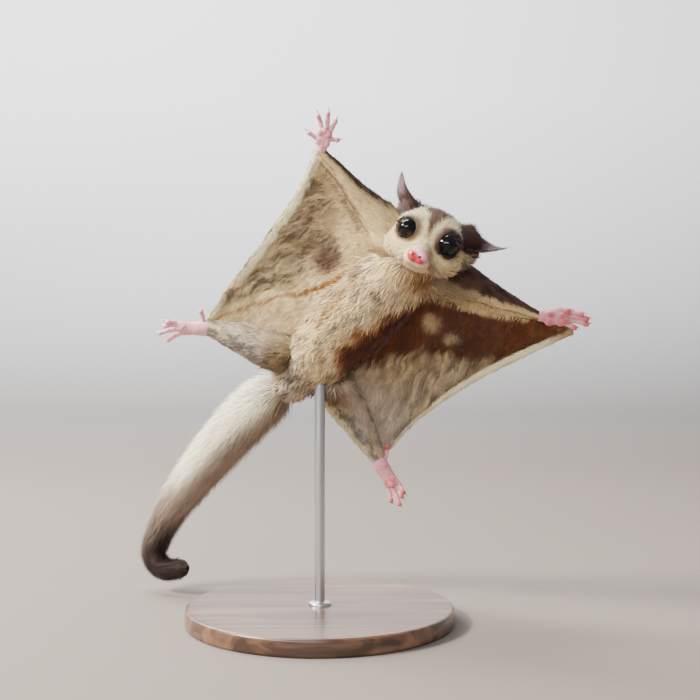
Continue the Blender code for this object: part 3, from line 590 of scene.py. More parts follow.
def cast(ways, field):
    """Where rays from the middle of the head last leave a field's surface."""
    reach = np.linspace(2, 40.0, 110)
    low = np.zeros(len(ways))
    for chunk in np.array_split(np.arange(len(ways)), max(1, len(ways) // 8000)):
        inside = field(ways[chunk][:, None, :] * reach[None, :, None]) < 0
        last = inside.shape[1] - 1 - inside[:, ::-1].argmax(1)
        low[chunk] = reach[np.minimum(last, len(reach) - 2)]
    high = low + (reach[1] - reach[0])
    for _ in range(12):
        middle = (low + high) / 2
        inside = field(ways * middle[:, None]) < 0
        low = np.where(inside, middle, low)
        high = np.where(inside, high, middle)
    return ways * low[:, None]


def mouth_line():
    """The line of the mouth, from corner to corner round the muzzle, on the bare head."""
    t = np.linspace(-1, 1, 25)
    along = MOUTH_BACK + (MOUTH_FRONT - MOUTH_BACK) * np.cos(t * math.pi / 2) ** 0.8
    across = MOUTH_HALF_WIDTH * np.sin(t * math.pi / 2)
    ways = unit(np.stack([across, along, np.full(len(t), MOUTH_HEIGHT)], 1))
    return cast(ways, bare_head)


MOUTH = mouth_line()


def face_field(points):
    """The skin of the head with its lids, sockets, lips, nose bed and cheeks."""
    field = bare_head(points)
    for side in (1, -1):
        pad = np.linalg.norm((points - (2.0 * side, 18.2, -6.4)) / (3.6, 4.2, 3.0), axis=-1)
        field = soft_join([field, (pad - 1) * 3.2], 1.6)
    around = math.sqrt(EYE_RADIUS ** 2 - LID_FORWARD ** 2) + 0.05
    for side in (1, -1):
        depth, off = round_eye(points, side)
        rim = np.hypot(off - around, depth - LID_FORWARD + 0.55) - 0.62
        field = soft_join([field, rim], 1.4)
        ball = np.linalg.norm(points - EYE_SIDES[side], axis=-1) - EYE_RADIUS - 0.06
        field = soft_cut(field, ball, 0.25)
        nostril = np.linalg.norm(points - (1.5 * side, 22.6, -5.0), axis=-1) - 0.4
        field = soft_cut(field, nostril, 0.3)
    line = to_line(points, MOUTH)
    field = soft_join([field, line - 0.62], 1.2)
    field = soft_cut(field, line - 0.36, 0.35)
    cleft = to_line(points, [(0.0, 23.4, -6.4), (0.0, 21.6, -8.6)])
    return soft_cut(field, cleft - 0.3, 0.4)


def ball_ways(polar, sides):
    """Ways out from the middle of a ball, in rings at angles from its front."""
    turns = np.linspace(0, 2 * math.pi, sides, endpoint=False)
    polar, turns = np.meshgrid(polar, turns, indexing="ij")
    return np.stack([np.sin(polar) * np.cos(turns), np.cos(polar),
                     np.sin(polar) * np.sin(turns)], -1).reshape(-1, 3)


def even_polar(rings):
    """Evenly spaced angles of rings from the front of a ball to its back."""
    return np.linspace(0, math.pi, rings + 2)[1:-1]


def face_shell():
    """The head as a fine closed surface, closest together round the muzzle: head frame."""
    rings, sides = FACE_GRID
    share = np.arange(1, rings + 1) / (rings + 1)
    ways = ball_ways(math.pi * (0.62 * share + 0.38 * share ** 2.2), sides)
    verts = cast(unit(ways - (0, 0, HEAD_TILT)), face_field)
    return closed_tube(verts, rings, sides)


def drawn_in(knots):
    """A limb's form drawn in by its coat, deepest at its root."""
    slim = []
    for number, knot in enumerate(knots):
        coat = LIMB_COAT + (WRIST_COAT - LIMB_COAT) * number / (len(knots) - 1)
        slim.append((*knot[:3], max(knot[3] - coat, 1.5), max(knot[4] - coat, 1.4)))
    return Form(slim, round_start=4.0)


def grid_curve(knots, shares):
    """Points at shares of the length of the smooth curve through some knots."""
    rows = spline([knot[:3] for knot in knots])
    steps = np.linalg.norm(np.diff(rows, axis=0), axis=1)
    along = np.concatenate([[0.0], np.cumsum(steps)])
    return np.stack([np.interp(np.asarray(shares) * along[-1], along, c) for c in rows.T], -1)


def web_grid(arm, leg, flank, edge, rows=64, columns=40):
    """The middle surface of a gliding membrane: u from arm to leg, v from flank to edge."""
    arm_line = [flank[0], *arm[1:], edge[0]]
    leg_line = [flank[-1], *leg[1:], edge[-1]]
    u = np.linspace(0, 1, rows)
    v = np.linspace(0, 1, columns)
    bent = np.sin(v * math.pi / 2) ** 0.85
    flank_at, edge_at = grid_curve(flank, u), grid_curve(edge, u)
    arm_at, leg_at = grid_curve(arm_line, bent), grid_curve(leg_line, bent)
    uu, vv = u[:, None, None], bent[None, :, None]
    middle = (1 - vv) * flank_at[:, None] + vv * edge_at[:, None]
    middle = middle + (1 - uu) * arm_at[None] + uu * leg_at[None]
    first, last = np.array(flank[0], float), np.array(flank[-1], float)
    middle -= (1 - uu) * ((1 - vv) * first + vv * np.array(edge[0], float))
    middle -= uu * ((1 - vv) * last + vv * np.array(edge[-1], float))
    middle[..., 2] += (MEMBRANE_BILLOW * np.sin(math.pi * uu[..., 0])
                       * np.sin(math.pi * vv[..., 0]))
    return middle, u, bent


def two_layers(rows, columns):
    """Quads of a sheet's two layers, back to back, and pairs of points round its rim."""
    count = rows * columns
    index = np.arange(count).reshape(rows, columns)
    quads = np.stack([index[:-1, :-1], index[:-1, 1:], index[1:, 1:], index[1:, :-1]], -1)
    quads = quads.reshape(-1, 4)
    rim = np.concatenate([index[0], index[1:, -1], index[-1, -2::-1], index[-2:0:-1, 0]])
    return np.vstack([quads, quads[:, ::-1] + count]), rim, np.roll(rim, -1)


def web_shell(middle, u, v):
    """The membrane as a thin closed shell, folded softly where it hangs between the limbs."""
    across = np.gradient(middle, axis=1)
    down = np.gradient(middle, axis=0)
    normal = unit(np.cross(across, down))
    uu, vv = np.meshgrid(u, v, indexing="ij")
    fold = 0.75 * np.sin(vv * 9 + 5 * uu + 1.4 * noise(middle, 22, 5)) * np.sin(math.pi * uu)
    fold = fold * step(0.0, 0.25, vv) * (1 - step(0.75, 1.0, vv))
    radial = 0.5 * np.sin(uu * 34 + 3 * noise(middle, 18, 9)) * step(0.1, 0.5, vv)
    fold = fold + radial * (1 - step(0.7, 0.98, vv)) * np.sin(math.pi * uu)
    middle = middle + normal * fold[..., None]
    thick = np.full_like(vv, WEB_THICK)
    thick[:, -1] *= 0.5
    top = middle + normal * thick[..., None] / 2
    low = middle - normal * thick[..., None] / 2
    quads, a, b = two_layers(*uu.shape)
    rim = np.stack([a, b, b + uu.size, a + uu.size], 1)
    return np.vstack([top.reshape(-1, 3), low.reshape(-1, 3)]), np.vstack([quads, rim])


def fringe_line(edge, side, count):
    """The middle line of the roll along a membrane's free edge."""
    shares = np.linspace(0, 1, count)
    spots = grid_curve(edge, shares)
    if side == 1:
        spots[:, 0] -= ROLL_RADIUS
    else:
        spots[:, 2] -= 1.0 + 1.3 * np.sin(math.pi * shares ** 1.5)
    return spots


def fringe_roll(edge, side):
    """The membrane's free edge as a smooth round roll, thinner at the wrist and ankle."""
    shares = np.linspace(0, 1, 24)
    spots = fringe_line(edge, side, 24)
    radius = ROLL_RADIUS * (0.55 + 0.45 * np.sin(math.pi * np.clip(shares, 0.02, 0.98)) ** 0.4)
    knots = np.column_stack([spots, radius * 1.05, radius])
    return Form(knots, round_start=1.0, round_end=1.0).shell(20, 1.0)


def paw_turn(pointing):
    """Across, ahead and back of a hand or foot, as columns in the body frame."""
    ahead = Vector(pointing).normalized()
    side = ahead.cross(Vector((0, 0, 1))).normalized()
    back = side.cross(ahead)
    return np.array([side, ahead, back]).T


def round_ball(centre, radii):
    """A closed egg shape, for pads."""
    ways = ball_ways(even_polar(14), 18)
    return closed_tube(np.array(centre) + ways * np.array(radii), 14, 18)


def paw_shells(setting, side, palm, digits):
    """Shells of one hand or foot with knuckles and pads, and its claws, in the body frame."""
    place, pointing, fan, thumb_angle, size, _ = setting
    turn_in = paw_turn(pointing)
    middle = [(0.0, y, z, half_width, half_height) for y, z, half_width, half_height in palm]
    flesh = [Form(middle, round_end=palm[-1][3]).shell(20, 0.8)]
    claws, pads = [], []
    for number, (across, along, angle, length, clawed) in enumerate(digits):
        turn = math.radians(angle * fan if number else thumb_angle) * side
        way = np.array([math.sin(turn), math.cos(turn), 0.0])
        root = np.array([across * side, along, 0.0])
        r = DIGIT_RADIUS
        knots = (
            (*(root - way * 1.8), r * 0.95, r * 0.95),
            (*(root + way * length * 0.22 + (0, 0, 0.35)), r * 0.92, r * 0.9),
            (*(root + way * length * 0.46 + (0, 0, 0.6)), r * 1.06, r * 1.04),
            (*(root + way * length * 0.70 + (0, 0, 0.0)), r * 0.86, r * 0.84),
            (*(root + way * (length - 0.7) + (0, 0, -0.5)), PAD_RADIUS * 1.06, PAD_RADIUS),
            (*(root + way * (length + 0.5) + (0, 0, -0.6)), PAD_RADIUS * 0.8, PAD_RADIUS * 0.7),
        )
        flesh.append(Form(knots, round_end=1.0).shell(16, 0.5))
        pads.append(root + way * (length - 0.7) + (0, 0, -1.1))
        flesh.append(round_ball(pads[-1], (0.82, 1.05, 0.62)))
        if not clawed:
            continue
        tip = root + way * length + (0, 0, 0.1)
        hook = (
            (*(tip - way * 0.5), 0.42, 0.5),
            (*(tip + way * CLAW_LENGTH * 0.45 + (0, 0, 0.25)), 0.34, 0.42),
            (*(tip + way * CLAW_LENGTH * 0.85 + (0, 0, -0.25)), 0.2, 0.26),
            (*(tip + way * CLAW_LENGTH * 1.1 + (0, 0, -0.95)), 0.04, 0.05),
        )
        claws.append(Form(hook).shell(12, 0.2))
    reach = palm[-1][0]
    for across, along, wide in ((-1.7, 0.20, 1.5), (1.7, 0.24, 1.5), (-1.6, 0.72, 1.3),
                                (0.0, 0.86, 1.35), (1.7, 0.7, 1.3)):
        spot = np.array([across * side, reach * along + 0.6, -1.1])
        pads.append(spot)
        flesh.append(round_ball(spot, (wide * 0.95, wide * 1.15, 0.8)))

    def placed(shell):
        return (shell[0] * size) @ turn_in.T + np.array(place), shell[1]

    pads = np.array(pads) * size @ turn_in.T + np.array(place)
    return [placed(s) for s in flesh], [placed(s) for s in claws], pads, turn_in


def ear_shell(side, rows=44, columns=34):
    """A thin cupped leaf, rolled at its root, with fine ridges, in the body frame.

    Gives points, quads, place up and across the leaf, and which points face into the cup.
    """
    root, way, opening, wide, tall, bend, twist, taper = EARS[side]
    along = unit(way)
    first_out = unit(np.array(opening) - np.dot(opening, along) * along)
    first_across = np.cross(along, first_out)
    v = np.linspace(-0.06, 1, rows)[:, None]
    c = np.linspace(-1, 1, columns)[None, :]
    rise = np.clip(v, 0, 1)
    width = wide * (1 - rise) ** taper * (1 + 0.5 * rise) + 0.4
    roll = 1.9 * (1 - rise) + 0.9
    radius = width / roll
    spine = (np.array(root) + along * tall * v[..., None]
             - first_out * (bend * np.sin(math.pi * rise))[..., None])
    turn = math.radians(twist) * rise * side
    out = first_out * np.cos(turn)[..., None] + first_across * np.sin(turn)[..., None]
    across = first_across * np.cos(turn)[..., None] - first_out * np.sin(turn)[..., None]
    a = (c * roll / 2)[..., None]
    normal = out * np.cos(a) - across * np.sin(a)
    middle = spine + out * radius[..., None] - normal * radius[..., None]
    ridge = 0.28 * np.sin(c * 9 + 2 * v) * (1 - rise) ** 0.5 * (1 - np.abs(c)) ** 0.4
    middle = middle + normal * ridge[..., None]
    half = EAR_THICK / 2 * (1 - 0.45 * rise) * (1 - 0.55 * np.abs(c) ** 4)
    inner = middle + normal * half[..., None]
    outer = middle - normal * half[..., None]
    quads, a, b = two_layers(rows, columns)
    count = rows * columns
    rim = np.stack([b, a, a + count, b + count], 1)
    verts = np.vstack([inner.reshape(-1, 3), outer.reshape(-1, 3)])
    place = np.tile(np.stack([rise + 0 * c, c + 0 * rise], -1).reshape(-1, 2), (2, 1))
    return head_to_body(verts), np.vstack([quads, rim]), place, np.repeat([1.0, 0.0], count)


TRUNK_FORM = Form(TRUNK, round_end=RUMP_ROUND)
TAIL_FORM = Form(TAIL, round_end=TAIL[-1][3])
LIMBS = {
    "arm_right": Form(RIGHT_ARM), "arm_left": Form(LEFT_ARM),
    "leg_right": Form(RIGHT_LEG), "leg_left": Form(LEFT_LEG),
}
PAWS = {
    "hand_right": (RIGHT_HAND, 1, PALM, RIGHT_DIGITS),
    "hand_left": (LEFT_HAND, -1, PALM, HAND_DIGITS),
    "foot_right": (RIGHT_FOOT, 1, SOLE, FOOT_DIGITS),
    "foot_left": (LEFT_FOOT, -1, SOLE, FOOT_DIGITS),
}
EDGES = {1: RIGHT_EDGE, -1: LEFT_EDGE}
WEBS = {
    1: web_grid(RIGHT_ARM, RIGHT_LEG, RIGHT_FLANK, RIGHT_EDGE),
    -1: web_grid(LEFT_ARM, LEFT_LEG, LEFT_FLANK, LEFT_EDGE),
}

# Regions of the skin
HEAD_PART, TRUNK_PART, ARM_PART, LEG_PART, WEB_PART, TAIL_PART = range(6)


def make_flesh():
    """The skin of the trunk, limbs, tail and membranes, fused: points and quads."""
    trunk = [(*k[:3], k[3] - TRUNK_COAT, k[4] - TRUNK_COAT) for k in TRUNK]
    shells = [Form(trunk, round_start=7.0, round_end=6.0).shell(64, 1.2)]
    for knots in (RIGHT_ARM, LEFT_ARM, RIGHT_LEG, LEFT_LEG):
        shells.append(drawn_in(knots).shell(48, 1.0))
    slim = [(2.2, -50.0, 3.0, 6.0, 6.0)]
    slim += [(*k[:3], k[3] * TAIL_CORE, k[4] * TAIL_CORE) for k in TAIL]
    shells.append(Form(slim, round_end=1.6).shell(28, 1.2))
    for side, grid in WEBS.items():
        shells += [web_shell(*grid), fringe_roll(EDGES[side], side)]
    rings, sides = CORE_GRID
    polar = math.pi * (np.arange(1, rings + 1) / (rings + 1))
    core = cast(unit(ball_ways(polar, sides)), lambda p: bare_head(p) + 0.9)
    verts, faces = closed_tube(core, rings, sides)
    return fused([*shells, (head_to_body(verts), faces)], SKIN_VOXEL, 3)


def normals_of(points, faces):
    """Area-weighted normals of the points of a mesh of triangles or quads."""
    total = np.zeros_like(points)
    for face in faces:
        corners = points[face]
        flat = np.cross(corners[:, 1] - corners[:, 0], corners[:, -1] - corners[:, 0])
        for k in range(face.shape[1]):
            for axis in range(3):
                total[:, axis] += np.bincount(face[:, k], flat[:, axis], len(points))
    return unit(total)


class WebMap:
    """Where a point lies on a gliding membrane, by its place across and along the body."""

    def __init__(self, side):
        middle, u, v = WEBS[side]
        flat = middle.reshape(-1, 3)
        uu, vv = np.meshgrid(u, v, indexing="ij")
        down = np.gradient(middle, u, axis=0).reshape(-1, 3)
        across = np.gradient(middle, v, axis=1).reshape(-1, 3)
        self.table = np.column_stack([flat, uu.ravel(), vv.ravel(), down, across])
        self.low = flat[:, :2].min(0) - 4
        self.cells = np.ceil((flat[:, :2].max(0) + 4 - self.low) / WEB_CELL).astype(int)
        xs, ys = np.meshgrid(*(np.arange(count) for count in self.cells), indexing="ij")
        spots = np.stack([xs, ys], -1).reshape(-1, 2) * WEB_CELL + self.low
        self.near, self.gap = np.zeros(len(spots), int), np.zeros(len(spots))
        for chunk in np.array_split(np.arange(len(spots)), 8):
            far = ((flat[:, :2] ** 2).sum(1) - 2 * spots[chunk] @ flat[:, :2].T
                   + (spots[chunk] ** 2).sum(1)[:, None])
            self.near[chunk] = far.argmin(1)
            self.gap[chunk] = np.sqrt(np.maximum(far.min(1), 0))

    def at(self, points):
        """Shares from arm to leg and flank to edge, the ways of both, and distance out."""
        off = points[:, :2] - self.low
        cell = np.clip((off / WEB_CELL).round().astype(int), 0, self.cells - 1)
        index = cell[:, 0] * self.cells[1] + cell[:, 1]
        over = np.maximum(self.low - points[:, :2],
                          points[:, :2] - self.low - self.cells * WEB_CELL)
        rows = self.table[self.near[index]]
        off, down, across = points - rows[:, :3], rows[:, 5:8], rows[:, 8:11]
        size = down[:, 0] * across[:, 1] - down[:, 1] * across[:, 0]
        size = np.where(np.abs(size) < 60, 1e9, size)
        more_u = (off[:, 0] * across[:, 1] - off[:, 1] * across[:, 0]) / size
        more_v = (down[:, 0] * off[:, 1] - down[:, 1] * off[:, 0]) / size
        u = rows[:, 3] + np.clip(more_u, -0.03, 0.03)
        v = rows[:, 4] + np.clip(more_v, -0.05, 0.05)
        out = np.hypot(np.abs(off[:, 2]) - WEB_THICK / 2,
                       self.gap[index] + np.maximum(over, 0).max(1))
        return np.clip(u, 0, 1), np.clip(v, 0, 1), unit(down), unit(across), out


WEB_MAPS = {side: WebMap(side) for side in (1, -1)}

CREAM = srgb(244, 216, 156)
BUFF = srgb(214, 188, 144)
CHEST = srgb(234, 208, 168)
TAUPE = srgb(154, 136, 110)
STROKE = srgb(56, 40, 30)
STAIN = srgb(140, 86, 18)
# Rust browns: partly the fur's own rust stain, partly painted shade on the belly's left side and
# the left membrane
RUST_AND_SHADE = srgb(80, 30, 0)
LIGHT_RUST_AND_SHADE = srgb(136, 70, 8)
DEEP_RUST_AND_SHADE = srgb(58, 36, 22)
AXILLA = srgb(124, 86, 74)
BACK = srgb(142, 126, 114)
BACK_DARK = srgb(84, 66, 58)
STRIPE = srgb(62, 42, 36)
CHEEK_FUR = srgb(240, 214, 160)
FACE_PALE = srgb(244, 224, 176)
BROWN = srgb(108, 78, 62)
EYE_RING = srgb(34, 22, 20)
EAR_FOOT = srgb(66, 36, 30)
BLUSH = srgb(200, 128, 112)
SNOUT = srgb(222, 178, 166)
LIPS = srgb(150, 92, 66)
LEG_GREY = srgb(208, 196, 180)
LEG_ROSY = srgb(204, 178, 160)
LEG_DARK = srgb(70, 58, 50)
RUMP_BUFF = srgb(146, 118, 82)
FRINGE = srgb(255, 244, 196)
TAIL_PALE_AND_LIT = srgb(255, 246, 214)
TAIL_BROWN = srgb(164, 144, 126)
TAIL_END = srgb(48, 31, 24)
PINK = srgb(246, 190, 200)
PINK_DEEP = srgb(232, 158, 168)
PINK_PALE = srgb(250, 222, 226)
CREASE = srgb(204, 112, 122)
RED_PAD = srgb(208, 62, 54)
EAR_BACK = srgb(132, 118, 122)
EAR_INSIDE = srgb(84, 52, 46)
EAR_SHINE = srgb(190, 178, 186)
EAR_ROOT = srgb(70, 38, 34)

# Lines across the membranes and pale spots on the left one, by shares from arm to leg and
# from flank to edge; each spot ends with its size
RIGHT_STAIN = ((0.22, -0.02), (0.41, 0.07), (0.54, 0.17), (0.68, 0.38), (0.84, 0.62), (0.95, 0.87))
RIGHT_ARM_LINE = ((0.03, 0.92), (0.05, 0.80), (0.055, 0.60), (0.08, 0.41), (0.11, 0.28))
LEFT_ARM_LINE = ((0.16, 0.10), (0.17, 0.21), (0.13, 0.41), (0.09, 0.62), (0.0, 0.85))
LEFT_SPOTS = ((0.30, 0.30, 2.6), (0.32, 0.49, 2.2), (0.27, 0.22, 1.6))

# How many millimetres a membrane measures from arm to leg and from flank to edge, how its
# strands of hair wander, and how far they slant outward
WEB_SPAN = (90.0, 46.0)
WAVE_HIGH, WAVE_LONG = 0.8, 3.6
WEB_SLANT = 0.42


def layers(tone, *coats):
    """A ground colour with other colours laid over it in turn, each by its share."""
    for colour, share in coats:
        tone = mix(tone, colour, share)
    return tone


def head_colour(h):
    """Markings of the face by place in the head's frame, with painted shade on the lower left
    cheek.
    """
    x, y, z = h.T
    patchy = noise(h, 2.6, 61)
    back = step(-1.0, -8.0, y + 0.35 * z - 2.0)
    half = 0.4 + 6.0 * step(13, -3, y) ** 1.3
    stripe = step(half + 0.8, half - 0.5, np.abs(x + 0.12 * patchy)) * step(14.0, 11.5, y)
    tone = layers(
        CHEEK_FUR,
        (FACE_PALE, step(-2, 6, z)),
        (BUFF, step(0.0, 0.9, patchy) * 0.35),
        (BUFF, 0.55 * step(-6, -10, z) * step(12, 2, y)),
        (mix(BACK, STRIPE, step(3, 8, x) * 0.85), back * step(-9, 0, z) * 0.9),
        (mix(BROWN, STRIPE, 0.3 + 0.3 * patchy), stripe * step(1.0, 4.0, z)))
    for side in (1, -1):
        wide, band, snout_line = (5.0, 2.6, 0.3) if side == 1 else (5.9, 3.8, 0.6)
        eye, ear = EYE_SIDES[side], np.array(EARS[side][0])
        depth, off = round_eye(h, side)
        ring = step(wide + 1.5, wide - 0.4, off + 0.35 * patchy) * step(-4.0, -1.0, depth)
        to_ear = to_line(h, [eye + (2.5 * side, -2.5, 1.0), ear + (0, 2, -1)]) + 0.4 * patchy
        brow = to_line(h, [eye + (-3.2 * side, 1.0, 4.6), eye + (-4.6 * side, 3.0, 1.0)])
        mound = np.linalg.norm(h - np.array(EAR_MOUNDS[(1 - side) // 2][0]), axis=1)
        behind = to_line(h, [ear + (1.5 * side, -2, -4), (17.0 * side, -7.0, -7.0)])
        wedge = to_line(h, [(18.0 * side, -5.0, -4.0), (14.0 * side, -1.0, -6.5)])
        front = to_line(h, [eye + (-1.6 * side, 5.5, -3.0), (3.4 * side, 15.0, -2.6)])
        tone = layers(
            tone,
            (mix(BROWN, EYE_RING, step(wide + 0.5, wide - 0.8, off)), ring),
            (mix(BROWN, EYE_RING, 0.45 + 0.2 * patchy), step(band, band - 1.8, to_ear) * 0.95),
            (BROWN, step(2.6, 0.8, brow) * 0.45),
            (EAR_FOOT, step(7.2, 6.4, mound + 0.3 * patchy) * 0.97),
            (mix(BROWN, STRIPE, 0.6 + 0.4 * patchy), step(4.6, 2.8, behind) * 0.95),
            (STRIPE, step(1.9, 0.8, wedge) * 0.9),
            (BROWN, step(1.8, 0.4, front) * snout_line))
    # jowl: the lower left cheek in buff to stain colour, partly the fur's own stain, partly
    # painted shade
    jowl = np.linalg.norm((h - (-9.0, 6.0, -9.5)) / (8.5, 8.0, 4.6), axis=1)
    blush = np.linalg.norm((h - (-3.4, 17.6, -4.6)) / (2.8, 4.0, 2.8), axis=1)
    throat = to_line(h, [(-9.0, 2.0, -12.0), (2.0, 4.0, -13.6)])
    return layers(
        tone,
        (mix(BUFF, STAIN, 0.35 + 0.2 * patchy), step(1.25, 0.55, jowl) * 0.75),
        (BLUSH, step(1.25, 0.5, blush) * 0.7),
        (SNOUT, step(20.4, 22.4, y) * 0.8),
        (LIPS, step(1.5, 0.4, to_line(h, MOUTH)) * 0.55),
        (STAIN, step(3.4, 1.2, throat) * 0.35))


def strands(across, along, wide, tall, seed):
    """Noise drawn out along the lie of the coat, 0 to 1, from places in millimetres."""
    spot = np.stack([across / wide, along / tall, np.zeros_like(across)], 1)
    return noise(spot, 1.0, seed) * 0.5 + 0.5


def web_wave(u, v):
    """How far the strands of hair wander, in millimetres, and the slope of that."""
    turn = u * WEB_SPAN[0] / WAVE_LONG + 0.21 * v * WEB_SPAN[1] + 2.0 * np.sin(v * 9 + 3 * u)
    return WAVE_HIGH * np.sin(turn), WAVE_HIGH / WAVE_LONG * np.cos(turn)


def web_strands(u, v, wide, tall, seed):
    """Strands of hair over a membrane, 0 to 1."""
    down, out = u * WEB_SPAN[0], v * WEB_SPAN[1]
    return strands(out - WEB_SLANT * down - web_wave(u, v)[0], down, wide, tall, seed)


def web_line(u, v, points):
    """Distance in millimetres from a line across a membrane."""
    spots = np.stack([u * WEB_SPAN[0], v * WEB_SPAN[1], 0 * u], 1)
    return to_line(spots, [(a * WEB_SPAN[0], b * WEB_SPAN[1], 0.0) for a, b in points])


def right_web(u, v, fine, hair, broad, cloud):
    """The right membrane from below: cream, dark strokes by its edge, a stain and a patch."""
    stain, arm_line = web_line(u, v, RIGHT_STAIN), web_line(u, v, RIGHT_ARM_LINE)
    inner = np.interp(u, (0.0, 0.12, 0.25, 0.37, 0.6, 0.8, 1.0),
                      (0.75, 0.55, 0.36, 0.20, 0.22, 0.3, 0.5))
    zone = step(-0.04, 0.24, v - inner + 0.22 * (broad - 0.5)) * step(0.02, 0.10, u)
    zone = zone * step(1.5, 5.0, stain)
    low = layers(
        CREAM,
        (BUFF, 0.7 * step(0.15, 0.45, v) + 0.2 * broad),
        (TAUPE, zone * 0.65),
        (CREAM, 0.55 * step(1.5, 3.0, stain) * step(8.0, 4.5, stain)),
        (CREAM, step(0.52, 0.68, hair) * (0.25 + 0.5 * zone)),
        (STROKE, step(0.50, 0.34, hair) * (0.12 + 0.56 * zone)),
        (STROKE, zone * 0.28 * step(0.45, 0.75, cloud)))
    patch = np.exp(-((u - 0.37) / 0.09) ** 2 - ((v - 0.26) / 0.11) ** 2)
    stain_u, stain_v = np.array(RIGHT_STAIN).T
    beyond = step(2.5, -2.5, (u - np.interp(v, stain_v, stain_u)) * 40)
    width = 0.9 + 0.9 * step(0.40, 0.05, v)
    line = step(1.3, 0.4, (stain + 1.2 * (fine - 0.5)) / width)
    by_arm = np.interp(v, (0.0, 0.28, 0.41, 0.6, 0.8, 0.92), (0.14, 0.11, 0.08, 0.055, 0.05, 0.03))
    return layers(
        low * (1.16 - 0.12 * zone)[:, None],
        (AXILLA * 0.5, np.clip(patch * 1.7, 0, 0.92)),
        (BUFF, 0.5 * (1 - beyond) * step(1.5, 4.0, stain)),
        (STAIN, line * (0.75 + 0.2 * step(0.5, 0.1, v))),
        (CREAM, step(0.0, -0.02, u - by_arm) * 0.8),
        (BROWN, step(1.2, 0.3, arm_line) * 0.7))


def left_web(u, v, fine, coarse, hair, broad, cloud):
    """The left membrane from below: rust by arm and flank, partly the fur's own stain and partly
    painted shadow cast by the body, pale spots, greyer beyond.
    """
    # border, warm and deep: the rust zone by arm and flank, partly the fur's own stain, partly
    # painted shadow cast by the body, darkest where deep is laid
    border = np.interp(v, (0.0, 0.25, 0.49, 0.71, 0.85, 1.0), (0.92, 0.64, 0.53, 0.42, 0.34, 0.3))
    warm = step(0.06, -0.08, u - border + 0.10 * (coarse - 0.5) + 0.08 * (broad - 0.5))
    deep = layers(
        RUST_AND_SHADE,
        (LIGHT_RUST_AND_SHADE, step(0.4, 0.9, coarse) * 0.4 + 0.25 * step(0.55, 0.9, v)),
        (DEEP_RUST_AND_SHADE, step(0.55, 0.8, fine) * 0.5
         + 0.45 * bump(u, 0.32, 0.12) * step(0.35, 0.6, v)))
    low = layers(
        BUFF,
        (TAUPE, 0.45 + 0.35 * step(0.3, 0.8, v)),
        (CREAM, step(0.54, 0.70, hair) * 0.45),
        (STROKE, step(0.48, 0.32, hair) * (0.3 + 0.35 * step(0.3, 0.9, v))),
        (STROKE, 0.22 * step(0.45, 0.75, cloud)),
        (LEG_GREY, 0.45 * step(0.6, 0.9, u)),
        (deep, warm * 0.95))
    for at_u, at_v, size in LEFT_SPOTS:
        away = web_line(u, v, ((at_u, at_v), (at_u + 0.03, at_v + 0.02)))
        low = mix(low, BUFF, np.clip(bump(away, 0.0, size) * (0.5 + 0.5 * coarse), 0, 0.75))
    over = np.interp(v, (0.0, 0.21, 0.41, 0.62, 0.85), (0.18, 0.17, 0.13, 0.09, 0.0))
    # darker: the cream flap by the arm turns buff brown towards the flank, painted shade with
    # strands of hair
    darker = step(0.5, 0.15, v) * 0.75 + 0.35 * step(0.4, 0.7, fine)
    return layers(
        low,
        (mix(CREAM, mix(BUFF, BROWN, 0.5), darker), step(0.01, -0.02, u - over) * 0.9),
        (RUST_AND_SHADE, step(1.6, 0.3, web_line(u, v, LEFT_ARM_LINE)) * 0.6))


def web_colour(p, u, v, edge, under, side):
    """Markings of a membrane from below and above, and of the roll along its edge, with painted
    shade by the roll and on the left membrane.
    """
    fine = web_strands(u, v, 0.6, 3.6, 21)
    coarse = web_strands(u, v, 1.3, 6.0, 22)
    hair = 0.6 * fine + 0.4 * coarse
    broad = noise(p, 11, 4) * 0.5 + 0.5
    cloud = noise(p, 5.5, 14) * 0.5 + 0.5
    pale = mix(mix(BACK, STRIPE, 0.4), FRINGE, step(-0.15, 0.4, under))
    if side == 1:
        low = right_web(u, v, fine, hair, broad, cloud)
    else:
        low = left_web(u, v, fine, coarse, hair, broad, cloud)
        # Near the wrist the left roll turns rust brown: partly stain, partly painted shade
        pale = mix(pale, LIGHT_RUST_AND_SHADE, step(0.16, 0.02, u) * 0.7)
    rim = step(2.4, 1.8, edge)
    return layers(
        BACK,
        (BACK_DARK, step(0.3, 0.85, v) * 0.8),
        (STRIPE, step(0.45, 0.7, fine) * 0.45),
        (low, under),
        # A painted shadow just inside the roll along the edge
        (STRIPE, step(3.6, 2.3, edge) * (1 - rim) * 0.30 * under),
        (pale, rim))


